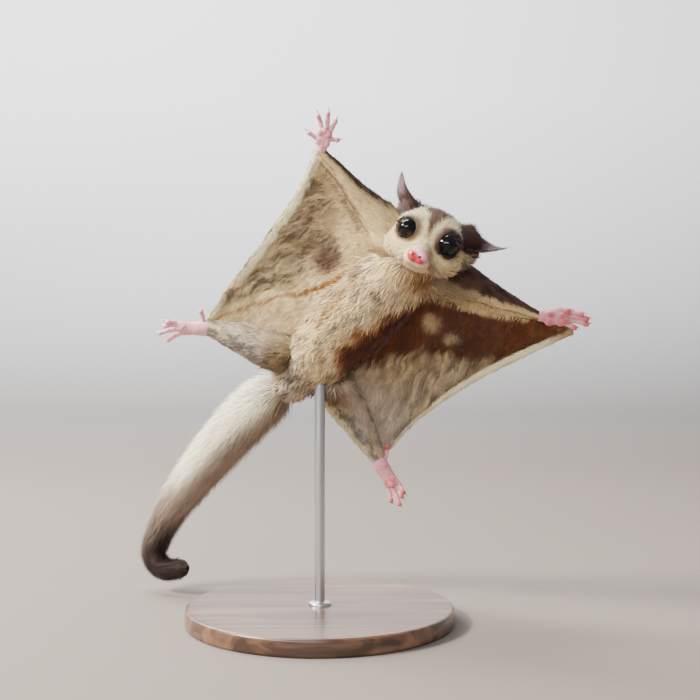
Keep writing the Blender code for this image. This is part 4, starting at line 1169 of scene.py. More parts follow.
def trunk_colour(q, back):
    """Buff belly with a rust border by the left membrane, partly the fur's own stain and partly
    painted shade, and a dark stripe down the back.
    """
    x, y = q[:, 0], q[:, 1]
    off = x - np.interp(y, TRUNK_FORM.rows[::-1, 1], TRUNK_FORM.rows[::-1, 0])
    haunch = step(-30, -46, y + 6 * noise(q, 4, 12) - 0.5 * np.abs(off))
    streak = strands(off + 1.2 * np.sin(y / 3.1 + off * 0.3), y, 1.1, 6.0, 8)
    mottle = step(0.1, 0.6, noise(q, 4.0, 9)) * step(14, 26, y)
    # brim and inside: the rust border by the left membrane, partly the fur's own stain, partly
    # painted shade on the belly's shaded side
    brim = np.interp(y, (-32, -21, -13, -5, 6, 20, 28, 36), (-19, -11, -2.5, 1, -0.5, -5, -9, -15))
    inside = off - brim + 1.6 * noise(q, 5, 10) + 2.0 * (streak - 0.5)
    chin = np.exp(-((y - 40) / 5) ** 2 - ((x + 3) / 9) ** 2)
    side_line = bump(off, 13.0, 2.2) * step(26, 18, y) * step(-14, -4, y)
    top = layers(
        BACK,
        (BACK_DARK, 0.3 + 0.3 * noise(q, 8, 2)),
        (STRIPE, np.maximum(step(5.0, 2.4, np.abs(off)), step(36, 42, y) * 0.9)))
    return layers(
        CREAM,
        (BUFF, noise(q, 9, 3) * 0.2 + 0.75),
        (CHEST, step(8, 30, y) * (0.5 + 0.3 * noise(q, 7, 6))),
        (CREAM, step(6.0, 12.0, off) * step(22, 10, y) * 0.6),
        (CREAM, step(2.0, 9.0, off) * step(30, 40, y) * 0.8),
        (RUMP_BUFF, step(-26, -44, y + 4 * noise(q, 6, 11)) * 0.85),
        (LEG_GREY, haunch * 0.7),
        (CREAM, step(0.55, 0.75, streak) * 0.5),
        (TAUPE * 0.7, step(0.47, 0.27, streak) * 0.75),
        (LEG_DARK, step(0.42, 0.24, streak) * haunch * 0.85),
        (STROKE, mottle * step(0.5, 0.3, streak) * 0.55),
        (LIGHT_RUST_AND_SHADE, step(2.5, -1.0, inside) * 0.8),
        (RUST_AND_SHADE, step(0.0, -4.0, inside) * 0.95),
        (STAIN, np.clip(chin * 0.9, 0, 0.85)),
        (STAIN, side_line * 0.5),
        (top, back))


def arm_colour(share, turn, nz, right):
    """Cream below, and dark along the leading edge and above."""
    lead = np.cos(turn) * (-1 if right else 1)
    streak = strands(turn * 4.0 + 0.6 * np.sin(share * 40), share * 60, 0.7, 7.0, 12)
    low = layers(
        CREAM,
        (BUFF, step(0.3, 0.8, streak) * 0.6),
        (TAUPE, step(0.4, 0.15, streak) * 0.4),
        (LIGHT_RUST_AND_SHADE, step(-0.55, -0.8, lead) * step(0.2, 0.5, share) * 0.7))
    if right:
        least = np.interp(share, (0.1, 0.3, 0.6, 1.0), (1.25, 0.93, 0.80, 0.66))
    else:
        least = np.interp(share, (0.05, 0.2, 0.45, 0.75, 1.0), (0.8, 0.45, 0.32, 0.5, 0.62))
        low = mix(low, mix(TAUPE, BROWN, streak),
                  step(0.62, 0.3, share + 0.25 * (streak - 0.5)) * 0.75)
    dark = step(-0.12, 0.12, lead - least + 0.16 * (streak - 0.5))
    deep = mix(mix(BROWN, STRIPE, 0.45), STRIPE, step(0.35, 0.7, streak))
    return mix(low, deep, np.maximum(dark, step(0.1, 0.5, nz)))


def leg_colour(share, turn, nz, back, left):
    """Grey with dark streaks, rosier by the membrane, and a pale rear rim on the left leg."""
    wander = 0.9 * np.sin(share * 34 + turn * 2)
    streak = strands(turn * 6.0 + wander, share * 55, 0.9, 6.0, 17)
    clumps = strands(turn * 6.0 + wander, share * 55, 2.6, 9.0, 18)
    rearward = np.cos(turn) * np.where(left, -1, 1)
    near_web = step(-0.5, -0.9, rearward) * (0.6 + 0.4 * left)
    return layers(
        RUMP_BUFF,
        (LEG_GREY, step(0.1, 0.5, share)),
        (mix(CREAM, FRINGE, 0.5), step(0.5, 0.72, clumps) * 0.7),
        (mix(BUFF, LEG_ROSY, left * 0.8), near_web * 0.75),
        (LEG_DARK, step(0.54, 0.38, streak) * (0.72 - 0.5 * near_web)),
        (mix(BACK, BACK_DARK, streak * 0.7), back),
        (FRINGE, step(0.12, 0.42, rearward) * left * step(0.75, 0.3, nz) * 0.85))


def tail_colour(s, turn):
    """Pale on the side turned up to the light, partly its own pale fur and partly painted light,
    grey brown below, partly painted shade, and dark at its end.
    """
    share = s / TAIL_FORM.length
    streak = strands(turn * 8.0 + 1.2 * np.sin(s * 0.21), s, 1.3, 16.0, 31)
    # up: how far the tail turns to the key light; its pale side is partly painted light, its grey
    # brown side partly painted shade
    up = -0.93 * np.cos(turn) + 0.37 * np.sin(turn) + 0.30 * (streak - 0.5)
    pale = step(-0.72 + 0.9 * share, -0.02 + 0.9 * share, up)
    return layers(
        TAIL_BROWN,
        (STROKE, step(0.5, 0.88, share) * 0.7),
        (BROWN, step(0.5, 0.85, streak) * 0.6),
        (TAIL_PALE_AND_LIT, pale * step(0.66, 0.44, share)),
        (TAIL_BROWN, step(0.55, 0.9, streak) * 0.4),
        (RUMP_BUFF, step(0.07, 0.0, share) * 0.4),
        (TAIL_END, step(0.66, 0.88, share + 0.10 * (streak - 0.5) - 0.10 * up)))


def markings_and_painted_light(p, n, part, where):
    """Colour of skin and coat at points of the body frame, with painted light and shade."""
    tone = np.tile(CREAM, (len(p), 1))
    nz = n[:, 2]
    back = step(-0.25, 0.45, nz)
    s, turn, limb = where["s"], where["turn"], where["limb"]
    k = part == TRUNK_PART
    tone[k] = trunk_colour(p[k], back[k])
    for name in ("arm_right", "arm_left"):
        k = (part == ARM_PART) & (limb == name)
        tone[k] = arm_colour(s[k], turn[k], nz[k], name == "arm_right")
    k = part == LEG_PART
    tone[k] = leg_colour(s[k], turn[k], nz[k], back[k], limb[k] == "leg_left")
    for side in (1, -1):
        k = (part == WEB_PART) & (where["side"] == side)
        tone[k] = web_colour(p[k], where["u"][k], where["v"][k], where["edge"][k],
                             step(0.3, -0.3, nz[k]), side)
    k = part == TAIL_PART
    tone[k] = tail_colour(s[k] * TAIL_FORM.length, turn[k])
    k = part == HEAD_PART
    tone[k] = head_colour(body_to_head(p[k]))
    return tone


def lie_flat(flow, n):
    """The part of a direction that lies along the skin."""
    return unit(flow - n * (flow * n).sum(1, keepdims=True))


def head_lie(h):
    """Place along and round the head, and the way its coat lies, back from the snout."""
    polar = unit(h)
    return {"s": np.arccos(np.clip(polar[:, 1], -1, 1)) / math.pi,
            "turn": np.arctan2(polar[:, 2], polar[:, 0]),
            "flow": unit(h - COAT_PARTING) @ HEAD_ROT.T}


def describe(p, n):
    """Part, place and lie of the coat for points of the skin."""
    trunk, tail = TRUNK_FORM.locate(p), TAIL_FORM.locate(p)
    limb_at = {name: form.locate(p) for name, form in LIMBS.items()}
    web_at = {side: WEB_MAPS[side].at(p) for side in (1, -1)}
    outs = [np.abs(bare_head(body_to_head(p))) - 0.3,
            np.abs(trunk[:, 2] + TRUNK_COAT)]
    for pair in (("arm_right", "arm_left"), ("leg_right", "leg_left")):
        gaps = [np.abs(limb_at[name][:, 2] + LIMB_COAT * 0.8) for name in pair]
        outs.append(np.minimum.reduce(gaps))
    outs.append(np.minimum(web_at[1][4], web_at[-1][4]) + 0.35)
    tail_depth = TAIL_FORM.row(tail[:, 0])[:, 3] * (1 - TAIL_CORE)
    outs.append(np.abs(tail[:, 2] + tail_depth) + 50 * (p[:, 1] > -55))
    part = np.argmin(np.stack(outs), axis=0)
    size = len(p)
    where = {"s": trunk[:, 0] / TRUNK_FORM.length, "turn": trunk[:, 1].copy(),
             "u": np.zeros(size), "v": np.zeros(size), "side": np.zeros(size, int),
             "edge": np.full(size, 99.0), "limb": np.full(size, "", dtype="U9"),
             "flow": np.tile([0.0, -1.0, 0.0], (size, 1))}
    for name, form in LIMBS.items():
        kind, word = name.split("_")
        other = f"{kind}_{'left' if word == 'right' else 'right'}"
        at = limb_at[name]
        k = (part == (ARM_PART if kind == "arm" else LEG_PART)) & (
            np.abs(at[:, 2]) <= np.abs(limb_at[other][:, 2]))
        where["limb"][k] = name
        where["s"][k] = at[k, 0] / form.length
        where["turn"][k] = at[k, 1]
        where["flow"][k] = unit(form.pick(form.ahead, at[k, 0]) + (0, -0.35, 0))
    for side in (1, -1):
        u, v, down, across, out = web_at[side]
        k = (part == WEB_PART) & (out <= web_at[-side][4])
        where["u"][k], where["v"][k], where["side"][k] = u[k], v[k], side
        edge = to_line(p[k], fringe_line(EDGES[side], side, 40))
        where["edge"][k] = edge
        outward = (WEB_SLANT + web_wave(u[k], v[k])[1]) * step(1.5, 6.0, edge)
        where["flow"][k] = unit(across[k] * outward[:, None] + down[k])
    k = part == TAIL_PART
    where["s"][k] = tail[k, 0] / TAIL_FORM.length
    where["turn"][k] = tail[k, 1]
    where["flow"][k] = TAIL_FORM.pick(TAIL_FORM.ahead, tail[k, 0])
    k = part == HEAD_PART
    for key, values in head_lie(body_to_head(p[k])).items():
        where[key][k] = values
    where["flow"] = lie_flat(where["flow"], n)
    return part, where


def feed(look, node, **inputs):
    """Sets inputs of a node: another node's output is wired in, anything else is a value."""
    for key, value in inputs.items():
        socket = node.inputs[key.replace("_", " ")]
        if isinstance(value, bpy.types.NodeSocket):
            look.node_tree.links.new(value, socket)
        else:
            socket.default_value = value
    return node


def add(look, kind, **inputs):
    """A new node of a material with its inputs set or wired."""
    return feed(look, look.node_tree.nodes.new("ShaderNode" + kind), **inputs)


def shade(look, **inputs):
    """Sets or wires inputs of a material's own shader."""
    feed(look, look.node_tree.nodes["Principled BSDF"], **inputs)


def plain_material(name, color, roughness, **sockets):
    """A material with the values of its own shader."""
    made = bpy.data.materials.new(name)
    made.use_nodes = True
    shade(made, Base_Color=(*color, 1.0), Roughness=roughness, **sockets)
    return made


def object_place(look):
    return add(look, "TexCoord").outputs["Object"]


def stored(look, name, output="Color"):
    """A colour or a number kept on the points of the mesh."""
    node = add(look, "Attribute")
    node.attribute_name = name
    return node.outputs[output]


def ramp(look, value, *stops):
    """Colours by a value, from stops of place and colour."""
    node = add(look, "ValToRGB", Fac=value)
    elements = node.color_ramp.elements
    for element, (at, color) in zip(elements, (stops[0], stops[-1])):
        element.position = at
        element.color = (*color, 1)
    for at, color in stops[1:-1]:
        elements.new(at).color = (*color, 1)
    return node.outputs["Color"]


def relief(look, height, strength, distance):
    """Fine relief on the whole surface."""
    node = add(look, "Bump", Strength=strength, Distance=distance, Height=height)
    shade(look, Normal=node.outputs["Normal"])


def fur_material():
    """Fur: colour from the coat's own patterns with painted light and shade, with a soft sheen
    along the hairs.
    """
    look = plain_material("fur", CREAM, 0.62, Specular_IOR_Level=0.22, Sheen_Weight=0.12,
                          Sheen_Roughness=0.5)
    shade(look, Base_Color=stored(look, "coat"))
    return look


def skin_material():
    """Bare and downy skin: its own patterns with painted light and shade, fine pores and creases.
    """
    look = plain_material("skin", CREAM, 0.5, Specular_IOR_Level=0.3, Subsurface_Weight=0.08,
                          Subsurface_Radius=(0.002, 0.0008, 0.0005), Subsurface_Scale=0.5)
    place = object_place(look)
    mottle = add(look, "TexNoise", Vector=place, Scale=900.0, Detail=5.0).outputs["Fac"]
    pores = ramp(look, mottle, (0.3, (0.62, 0.56, 0.54)), (0.62, (1, 1, 1)))
    tone = add(look, "MixRGB", Fac=0.35, Color1=stored(look, "coat"), Color2=pores)
    tone.blend_type = "MULTIPLY"
    rough = add(look, "MapRange", Value=stored(look, "bare", "Fac"), To_Min=0.85, To_Max=0.46)
    shade(look, Base_Color=tone.outputs["Color"], Roughness=rough.outputs["Result"])
    cells = add(look, "TexVoronoi", Vector=place, Scale=2600.0).outputs["Distance"]
    total = add(look, "Math")
    look.node_tree.links.new(cells, total.inputs[0])
    look.node_tree.links.new(mottle, total.inputs[1])
    relief(look, total.outputs["Value"], 0.35, 0.0002)
    return look


def set_tone(mesh, values, name="coat"):
    """A colour or a number for every point of a mesh."""
    values = np.asarray(values, np.float32)
    if values.ndim == 2:
        layer = mesh.color_attributes.new(name, "FLOAT_COLOR", "POINT")
        full = np.ones((len(values), 4), np.float32)
        full[:, :3] = np.clip(values, 0, 1)
        layer.data.foreach_set("color", full.ravel())
    else:
        layer = mesh.attributes.new(name, "FLOAT", "POINT")
        layer.data.foreach_set("value", values)


def big_mesh(name, points, corners, sizes, look):
    """A smooth mesh object from arrays: points in the body frame, face corners and sizes."""
    mesh = bpy.data.meshes.new(name)
    mesh.vertices.add(len(points))
    mesh.vertices.foreach_set("co", to_row(points).astype(np.float32).ravel())
    mesh.loops.add(len(corners))
    mesh.loops.foreach_set("vertex_index", corners.astype(np.int32))
    mesh.polygons.add(len(sizes))
    starts = np.concatenate([[0], np.cumsum(sizes)[:-1]]).astype(np.int32)
    mesh.polygons.foreach_set("loop_start", starts)
    mesh.update(calc_edges=True)
    mesh.shade_smooth()
    mesh.materials.append(look)
    obj = bpy.data.objects.new(name, mesh)
    bpy.context.collection.objects.link(obj)
    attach(obj, "root")
    return obj


SKIN_LOOK = skin_material()
FUR_LOOK = fur_material()

body_points, body_quads = make_flesh()
body_normals = normals_of(body_points, [body_quads])
if (body_normals * (body_points - body_points.mean(0))).sum() < 0:
    body_quads, body_normals = body_quads[:, ::-1], -body_normals
body_part, body_where = describe(body_points, body_normals)
body_tone = markings_and_painted_light(body_points, body_normals, body_part, body_where)

face_head, face_faces = face_shell()
face_points = head_to_body(face_head)
face_quads = np.array([f for f in face_faces if len(f) == 4])
face_caps = np.array([f for f in face_faces if len(f) == 3])
face_normals = normals_of(face_points, [face_quads, face_caps])
if (face_normals * (face_points - HEAD_MOVE)).sum() < 0:
    face_quads, face_caps, face_normals = face_quads[:, ::-1], face_caps[:, ::-1], -face_normals
face_head = body_to_head(face_points)
face_where = head_lie(face_head)
face_where["flow"] = lie_flat(face_where["flow"], face_normals)
face_tone = head_colour(face_head)


def face_bare(h):
    """How bare the face is: lids, snout tip and lips."""
    bare = step(20.6, 22.0, h[:, 1])
    for side in (1, -1):
        depth, off = round_eye(h, side)
        bare = np.maximum(bare, step(5.0, 4.6, off) * step(-1.5, 0.0, depth))
    return np.maximum(bare, step(0.7, 0.4, to_line(h, MOUTH)) * 0.8)


face_naked = face_bare(face_head)

paw_sets, claw_shells = [], []
for setting, side, palm, digits in PAWS.values():
    flesh, claws, pads, turn_in = paw_shells(setting, side, palm, digits)
    claw_shells += claws
    points, quads = fused(flesh, PAW_VOXEL, 1)
    local = (points - np.array(setting[0])) @ turn_in
    near_pad = np.min([np.linalg.norm(points - pad, axis=1) for pad in pads], axis=0)
    red = setting[5] * (0.3 + 0.7 * step(2.3, 0.9, near_pad)) * step(0.3, -0.9, local[:, 2])
    crease = step(0.55, 0.8, noise(local * (0.35, 1.6, 0.35), 0.8, 43) * 0.5 + 0.5)
    tone = layers(
        PINK,
        (PINK_DEEP, noise(points, 1.6, 41) * 0.3 + 0.3),
        (RED_PAD, red * (0.75 + 0.25 * noise(points, 2.2, 42))),
        (CREASE, crease * 0.45),
        (PINK_PALE, step(0.2, 1.2, local[:, 2]) * 0.4))
    paw_sets.append((points, quads, tone))

ear_sets = []
for side in (1, -1):
    verts, quads, place, inside = ear_shell(side)
    rise, across = place.T
    ridges = strands(across * 5, rise * 12, 0.8, 5.0, 52)
    root_dark = step(0.62, 0.36, rise + 0.12 * ridges) if side == 1 else step(0.34, 0.12, rise)
    tone = layers(
        EAR_BACK,
        (EAR_INSIDE, inside),
        (srgb(70, 38, 36), inside * step(0.55, 0.0, rise) * 0.7),
        (EAR_SHINE, step(0.35, 0.7, rise + 0.2 * ridges) * (0.6 - 0.3 * inside)),
        (EAR_ROOT, root_dark * 0.88),
        (srgb(50, 36, 36), step(0.84, 0.97, rise) * 0.75),
        (srgb(66, 44, 40), step(0.62, 0.85, ridges) * 0.5),
        (srgb(64, 48, 46), step(0.8, 1.0, np.abs(across)) * 0.5),
        (srgb(130, 84, 78), 0.3 * (noise(verts, 1.8, 51) * 0.5 + 0.5) * inside))
    ear_sets.append((verts, quads, tone, place))


def join_skin():
    """All flesh as one object, with its colours, painted light and shade among them, and how bare
    it is.
    """
    sets = [(body_points, body_quads, body_tone), (face_points, face_quads, face_tone)]
    sets += [*paw_sets, *(ear[:3] for ear in ear_sets)]
    bare = [np.zeros(len(body_points)), face_naked]
    bare += [np.ones(len(s[0])) for s in paw_sets] + [np.full(len(s[0]), 0.55) for s in ear_sets]
    naked = np.concatenate(bare)
    starts = np.cumsum([0] + [len(s[0]) for s in sets])
    four = np.vstack([s[1] + start for s, start in zip(sets, starts)])
    three = face_caps + starts[1]
    corners = np.concatenate([four.ravel(), three.ravel()])
    sizes = np.repeat([4, 3], [len(four), len(three)])
    obj = big_mesh("skin", np.vstack([s[0] for s in sets]), corners, sizes, SKIN_LOOK)
    dim = np.where(naked > 0.3, 1.0, 0.80)[:, None]
    set_tone(obj.data, np.vstack([s[2] for s in sets]) * dim)
    set_tone(obj.data, naked, "bare")
    return obj


skin = join_skin()
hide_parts(*[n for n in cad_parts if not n.startswith(("stand_", "eye_", "nose"))])


class Field:
    """Skin that hair can root in: points, triangles and what the coat is like on it."""

    def __init__(self, points, normals, quads, flow, tone, place):
        self.points, self.normals = points, normals
        self.flow, self.tone, self.place = flow, tone, place
        self.tris = np.vstack([quads[:, [0, 1, 2]], quads[:, [0, 2, 3]]])
        a, b, c = (points[self.tris[:, k]] for k in range(3))
        self.area = np.linalg.norm(np.cross(b - a, c - a), axis=1) / 2

    def roots(self, count, weight):
        """Random roots by the weights of the points: place, normal, lie, tone, map, point."""
        chance = self.area * weight[self.tris].mean(1)
        pick = draw.choice(len(self.tris), count, p=chance / chance.sum())
        tri = self.tris[pick]
        a, b = draw.random((2, count))
        flip = a + b > 1
        a, b = np.where(flip, 1 - a, a), np.where(flip, 1 - b, b)
        share = np.stack([1 - a - b, a, b], 1)[..., None]

        def blend(table):
            return (table[tri] * share).sum(1)

        return (blend(self.points), unit(blend(self.normals)), unit(blend(self.flow)),
                blend(self.tone), self.place[tri[:, 0]], tri[:, 0])


def blades(name, rungs, place):
    """One mesh of tapered blades with its colours, partly painted light and shade, and its bake
    map.

    Each rung gives, for all blades: share of the length, middle, way out, way across, how far
    its two normals part, half width and colour. The last rung, at 1.0, is the tips.
    """
    points, normals, tones, maps = [], [], [], []
    for t, spot, out, flat, part_ways, half, tone in rungs:
        for way in (0,) if t == 1.0 else (-1, 1):
            points.append(spot + flat * half * way)
            normals.append(unit(out + part_ways * flat * way))
            tones.append(tone)
            maps.append(place + (PATCH_HALF * way, PATCH_HALF * (2 * t - 1)))
    last = len(rungs) - 1
    pattern = [k for r in range(last - 1) for k in (2 * r, 2 * r + 2, 2 * r + 3, 2 * r + 1)]
    pattern += [2 * last - 2, 2 * last, 2 * last - 1]
    count, per = len(place), len(points)
    corners = (np.arange(count)[:, None] * per + np.array(pattern)).ravel()
    points, normals, tones, maps = (
        np.stack(rows, 1).reshape(count * per, -1) for rows in (points, normals, tones, maps))
    obj = big_mesh(name, points, corners, np.tile([4] * (last - 1) + [3], count), FUR_LOOK)
    set_tone(obj.data, tones)
    layer = obj.data.uv_layers.new(name="OFBake")
    maps = np.clip(maps, 0, 1)[corners].astype(np.float32)
    layer.uv.foreach_set("vector", maps.ravel())
    obj.data.normals_split_custom_set_from_vertices((normals @ BODY_TURN.T).astype(np.float32))


def tufts(name, roots, length, width, lift, seed, stations=TUFT_STATIONS, sink=0.25,
          droop=0.5, darken=0.62, spread=0.35):
    """Tapered tufts from their roots, lying along the coat."""
    p, n, flow, tone, place, _ = roots
    count = len(p)
    length = length * draw.uniform(0.72, 1.18, count)
    width = width * draw.uniform(0.75, 1.25, count)
    clump = noise(p, 3.2, seed + 60) * 0.9 + noise(p, 1.3, seed + 61) * 0.6
    sway = draw.normal(0, spread, count) * 0.5 + clump * spread
    lean = unit(flow + np.cross(n, flow) * sway[:, None])
    rise = lift * (1 + 0.5 * noise(p, 2.4, seed + 62) + draw.normal(0, 0.22, count))
    rise = np.clip(rise, 0.03, 1.3)
    roll = draw.normal(0, 0.5, count)[:, None]
    flat = unit(np.cross(n, lean))
    flat = unit(flat * np.cos(roll) + n * np.sin(roll))
    curl = draw.normal(0, TUFT_CURL, count)
    jitter = draw.uniform(0.76, 1.16, count)[:, None] * (1 + 0.16 * clump[:, None])
    warm = 1 + draw.normal(0, 0.035, (count, 1)) * np.array([1, 0, -1])
    rungs = []
    for t in (*stations, 1.0):
        high = np.sin(rise) * t - droop * np.sin(rise) * t ** 2
        spot = (p + n * (length * high - sink)[:, None]
                + lean * (length * np.cos(rise) * t)[:, None]
                + flat * (length * curl * t ** 2)[:, None])
        # Roots darker than tips: partly the hairs' own darker bases, partly painted shade deep in
        # the coat
        depth = darken + (TIP_LIGHT - darken) * min(t * 1.25, 1.0)
        rungs.append((t, spot, n, flat, 0.45, (width * (0.5 - 0.12 * t))[:, None],
                      np.clip(tone * jitter * warm * depth, 0, 1)))
    blades(name, rungs, place)


def tail_hair(name, roots, s_table):
    """Long hairs that leave the tail's core and lie back to its full outline."""
    p, _, _, _, place, vertex = roots
    count, form = len(p), TAIL_FORM
    s = s_table[vertex] + draw.uniform(-1.5, 1.5, count)
    turn = body_where["turn"][vertex] + draw.normal(0, 0.08, count)
    to_end = form.length - s
    reach = form.row(np.clip(s, 0, form.length))[:, 3] * draw.uniform(0.7, 1.5, count) + 2.0
    reach = np.clip(to_end + draw.uniform(-1.5, 0.5, count), 1.0, reach)
    top = draw.beta(3.0, 1.3, count) * 1.04 * (1 + 0.10 * noise(p, 3.0, 73))
    top = np.where(draw.random(count) < 0.2, draw.uniform(1.0, 1.24, count), top)
    top = np.minimum(top, 1.0 + to_end / 60)
    sway = noise(p, 4.0, 71) * 0.34 + draw.normal(0, 0.11, count)
    sway = sway * np.clip(to_end / 14, 0, 1)
    width = draw.uniform(0.22, 0.44, count)
    jitter = draw.uniform(0.78, 1.15, count)[:, None] * (1 + 0.2 * noise(p, 2.4, 72))[:, None]
    low = TAIL_CORE * 0.9
    rungs = []
    for t in HAIR_STATIONS:
        at = s + reach * t
        inside = np.clip(at, 0, form.length - 0.01)
        row = form.row(inside)
        share = low + (np.maximum(top, low + 0.1) - low) * t ** 0.62
        around = turn + sway * t ** 2
        full = row[:, 3] * np.maximum(form.fullness(inside), 0.3)
        side_way, up_way, ahead = (
            unit(form.pick(table, inside)) for table in (form.side, form.up, form.ahead))
        out = side_way * np.cos(around)[:, None] + up_way * np.sin(around)[:, None]
        spot = (row[:, :3] + out * (full * share)[:, None]
                + ahead * np.maximum(at - form.length, 0)[:, None])
        # Roots darker than tips: partly the hairs' own darker bases, partly painted shade deep in
        # the coat
        tone = tail_colour(inside, around) * jitter * (0.62 + 0.45 * min(t * 1.4, 1.0))
        rungs.append((t, spot, out, np.cross(out, ahead), 0.5,
                      (width * (0.5 - 0.15 * t))[:, None], tone))
    blades(name, rungs, place)


def unwrap(part, where, upper=None):
    """Places on an unwrap of the skin's own shape: along and round each part of the body."""
    turn = where["turn"] / (2 * math.pi) + 0.5
    place = np.stack([turn, where["s"]], 1)
    place = np.clip(place, 0.002, 0.998) * 0.98 + 0.01
    if upper is not None:
        web = part == WEB_PART
        place[web] = (np.stack([where["u"], where["v"] * 0.48], 1) * 0.98 + 0.01)[web]
        place[web & upper, 1] += 0.5
        limb = np.isin(part, (ARM_PART, LEG_PART))
        left = np.char.endswith(where["limb"], "left")
        place[limb, 0] = place[limb, 0] * 0.49 + 0.5 * left[limb]
    return place


def grow(name, field, weight, reach=None, table=None, **style):
    """Roots over a field by weight, and the tufts on them."""
    count, length, width, lift = TUFTS[table or name]
    roots = field.roots(count, weight)
    if reach is not None:
        length = length * reach[roots[5]]
    tufts(name, roots, length, width, lift, **style)


def grow_body():
    """The coat of the trunk, limbs, membranes and tail."""
    field = Field(body_points, body_normals, body_quads, body_where["flow"], body_tone,
                  unwrap(body_part, body_where, body_normals[:, 2] > 0))

    def on(part):
        return (body_part == part).astype(float)

    grow("coat_trunk", field, on(TRUNK_PART), seed=1, darken=0.66)
    grow("coat_trunk_long", field, on(TRUNK_PART), seed=2, stations=LONG_STATIONS)
    s, edge = body_where["s"], body_where["edge"]
    grow("coat_arms", field, on(ARM_PART), np.clip(1.2 - s, 0.34, 1.0), seed=3)
    grow("coat_legs", field, on(LEG_PART), np.clip(1.2 - s, 0.35, 1.0), seed=4, spread=0.45)
    for side, word in SIDES:
        web = on(WEB_PART) * (body_where["side"] == side)
        grow(f"coat_web_{word}", field, web * step(0.9, 2.1, edge), table="coat_web",
             seed=5 + side, spread=0.3, darken=0.72)
        grow(f"fringe_{word}", field, web * step(2.3, 1.7, edge), table="fringe",
             seed=8 + side, sink=0.1, spread=0.12, darken=0.9, droop=0.9)
    along, length = s * TAIL_FORM.length, TAIL_FORM.length
    for number, (low, high) in enumerate(((-0.1, 0.5), (0.45, 1.05))):
        zone = on(TAIL_PART) * (s >= low) * (s <= high) * (along < length - 1.5)
        zone = zone * (1 + 2.5 * step(length - 16, length - 5, along))
        tail_hair(f"coat_tail_{number + 1}", field.roots(TAIL_HAIRS, zone), along)


def grow_face():
    """The short coat of the face, finest on the snout and round the eyes, and the cheeks."""
    field = Field(face_points, face_normals, face_quads, face_where["flow"], face_tone,
                  unwrap(None, face_where))
    downy = 1 - step(0.35, 0.7, face_naked)
    snout = step(4, 20, face_head[:, 1])
    reach = 3.6 - 2.7 * snout
    for side in (1, -1):
        gap = np.linalg.norm(face_head - EYE_SIDES[side], axis=1)
        reach = reach * (0.38 + 0.62 * step(5.0, 10.0, gap))
    roots = field.roots(FACE_TUFTS, downy * (1 + 2.0 * snout))
    length = reach[roots[5]]
    tufts("coat_face", roots, length, 0.14 + 0.075 * length, 0.20, seed=12, sink=0.12)
    grow("coat_cheeks", field, downy * step(10, 2, face_head[:, 1]), reach, seed=13,
         stations=LONG_STATIONS, sink=0.12)


def grow_ear_down():
    """Short fine hairs on both sides of the ears, thinnest towards their tips."""
    count, length, width, lift = TUFTS["coat_ears"]
    sets = []
    for number, (verts, quads, tone, place) in enumerate(ear_sets):
        normals = normals_of(verts, [quads])
        centre = verts[place[:, 0] < 0.3].mean(0)
        flow = lie_flat(unit(verts - centre), normals)
        spots = place * (0.23, 0.98 / 4.2) + (0.25 + 0.5 * number, 0.3)
        ear = Field(verts, normals, quads, flow, tone, spots)
        sets.append(ear.roots(count, 1.1 - place[:, 0]))
    roots = tuple(np.concatenate(column) for column in zip(*sets))
    tufts("coat_ears", roots, length, width, lift, seed=15, sink=0.05)


grow_body()
grow_face()
grow_ear_down()


def piece(name, verts, faces, look, in_row=True):
    """A closed piece that rides on the root."""
    obj = face_outward(new_object(name, verts, faces, look, in_row))
    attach(obj, "root")
    return obj


def make_eyes():
    """Glossy dark eyeballs with a slight bulge at the front."""
    look = plain_material("eye", (0.006, 0.005, 0.006), 0.03, Specular_IOR_Level=0.3)
    clouds = add(look, "TexNoise", Vector=object_place(look), Scale=700.0).outputs["Fac"]
    shade(look, Base_Color=ramp(look, clouds, (0.0, (0.001, 0.001, 0.0015)),
                                (1.0, (0.006, 0.004, 0.003))))
    rings, sides = EYE_GRID
    polar = even_polar(rings)
    x, y, z = ball_ways(polar, sides).T[..., None]
    bulge = 1 + 0.05 * np.exp(-(np.repeat(polar, sides) / 0.5) ** 2)
    reach = (EYE_RADIUS * bulge)[:, None]
    for side, word in SIDES:
        way = EYE_WAYS[side]
        across = unit(np.cross(way, (0, 0, 1)))
        out = across * x + np.cross(across, way) * z + way * y
        verts, faces = closed_tube(EYE_SIDES[side] + out * reach, rings, sides)
        eye = piece(f"eyeball_{word}", head_to_body(verts), faces, look)
        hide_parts(f"eye_{word}")


def nose_field(p):
    """The nose pad: two lobes and a bridge, comma-shaped nostrils and a cleft."""
    lobes = [((1.6, 22.1, -4.6), (2.6, 2.7, 2.7)), ((-1.6, 22.1, -4.6), (2.6, 2.7, 2.7)),
             ((0, 21.2, -3.2), (2.4, 2.8, 2.1))]
    value = soft_join([(np.linalg.norm((p - centre) / radii, axis=-1) - 1) * 2.1
                       for centre, radii in lobes], 0.9)
    for side in (1, -1):
        comma = [(1.15 * side, 24.9, -4.4), (2.3 * side, 23.9, -4.0), (2.9 * side, 22.9, -4.3)]
        value = soft_cut(value, to_line(p, comma) - 0.42, 0.3)
    return soft_cut(value, to_line(p, [(0, 25.4, -4.2), (0, 24.4, -6.4)]) - 0.22, 0.3)


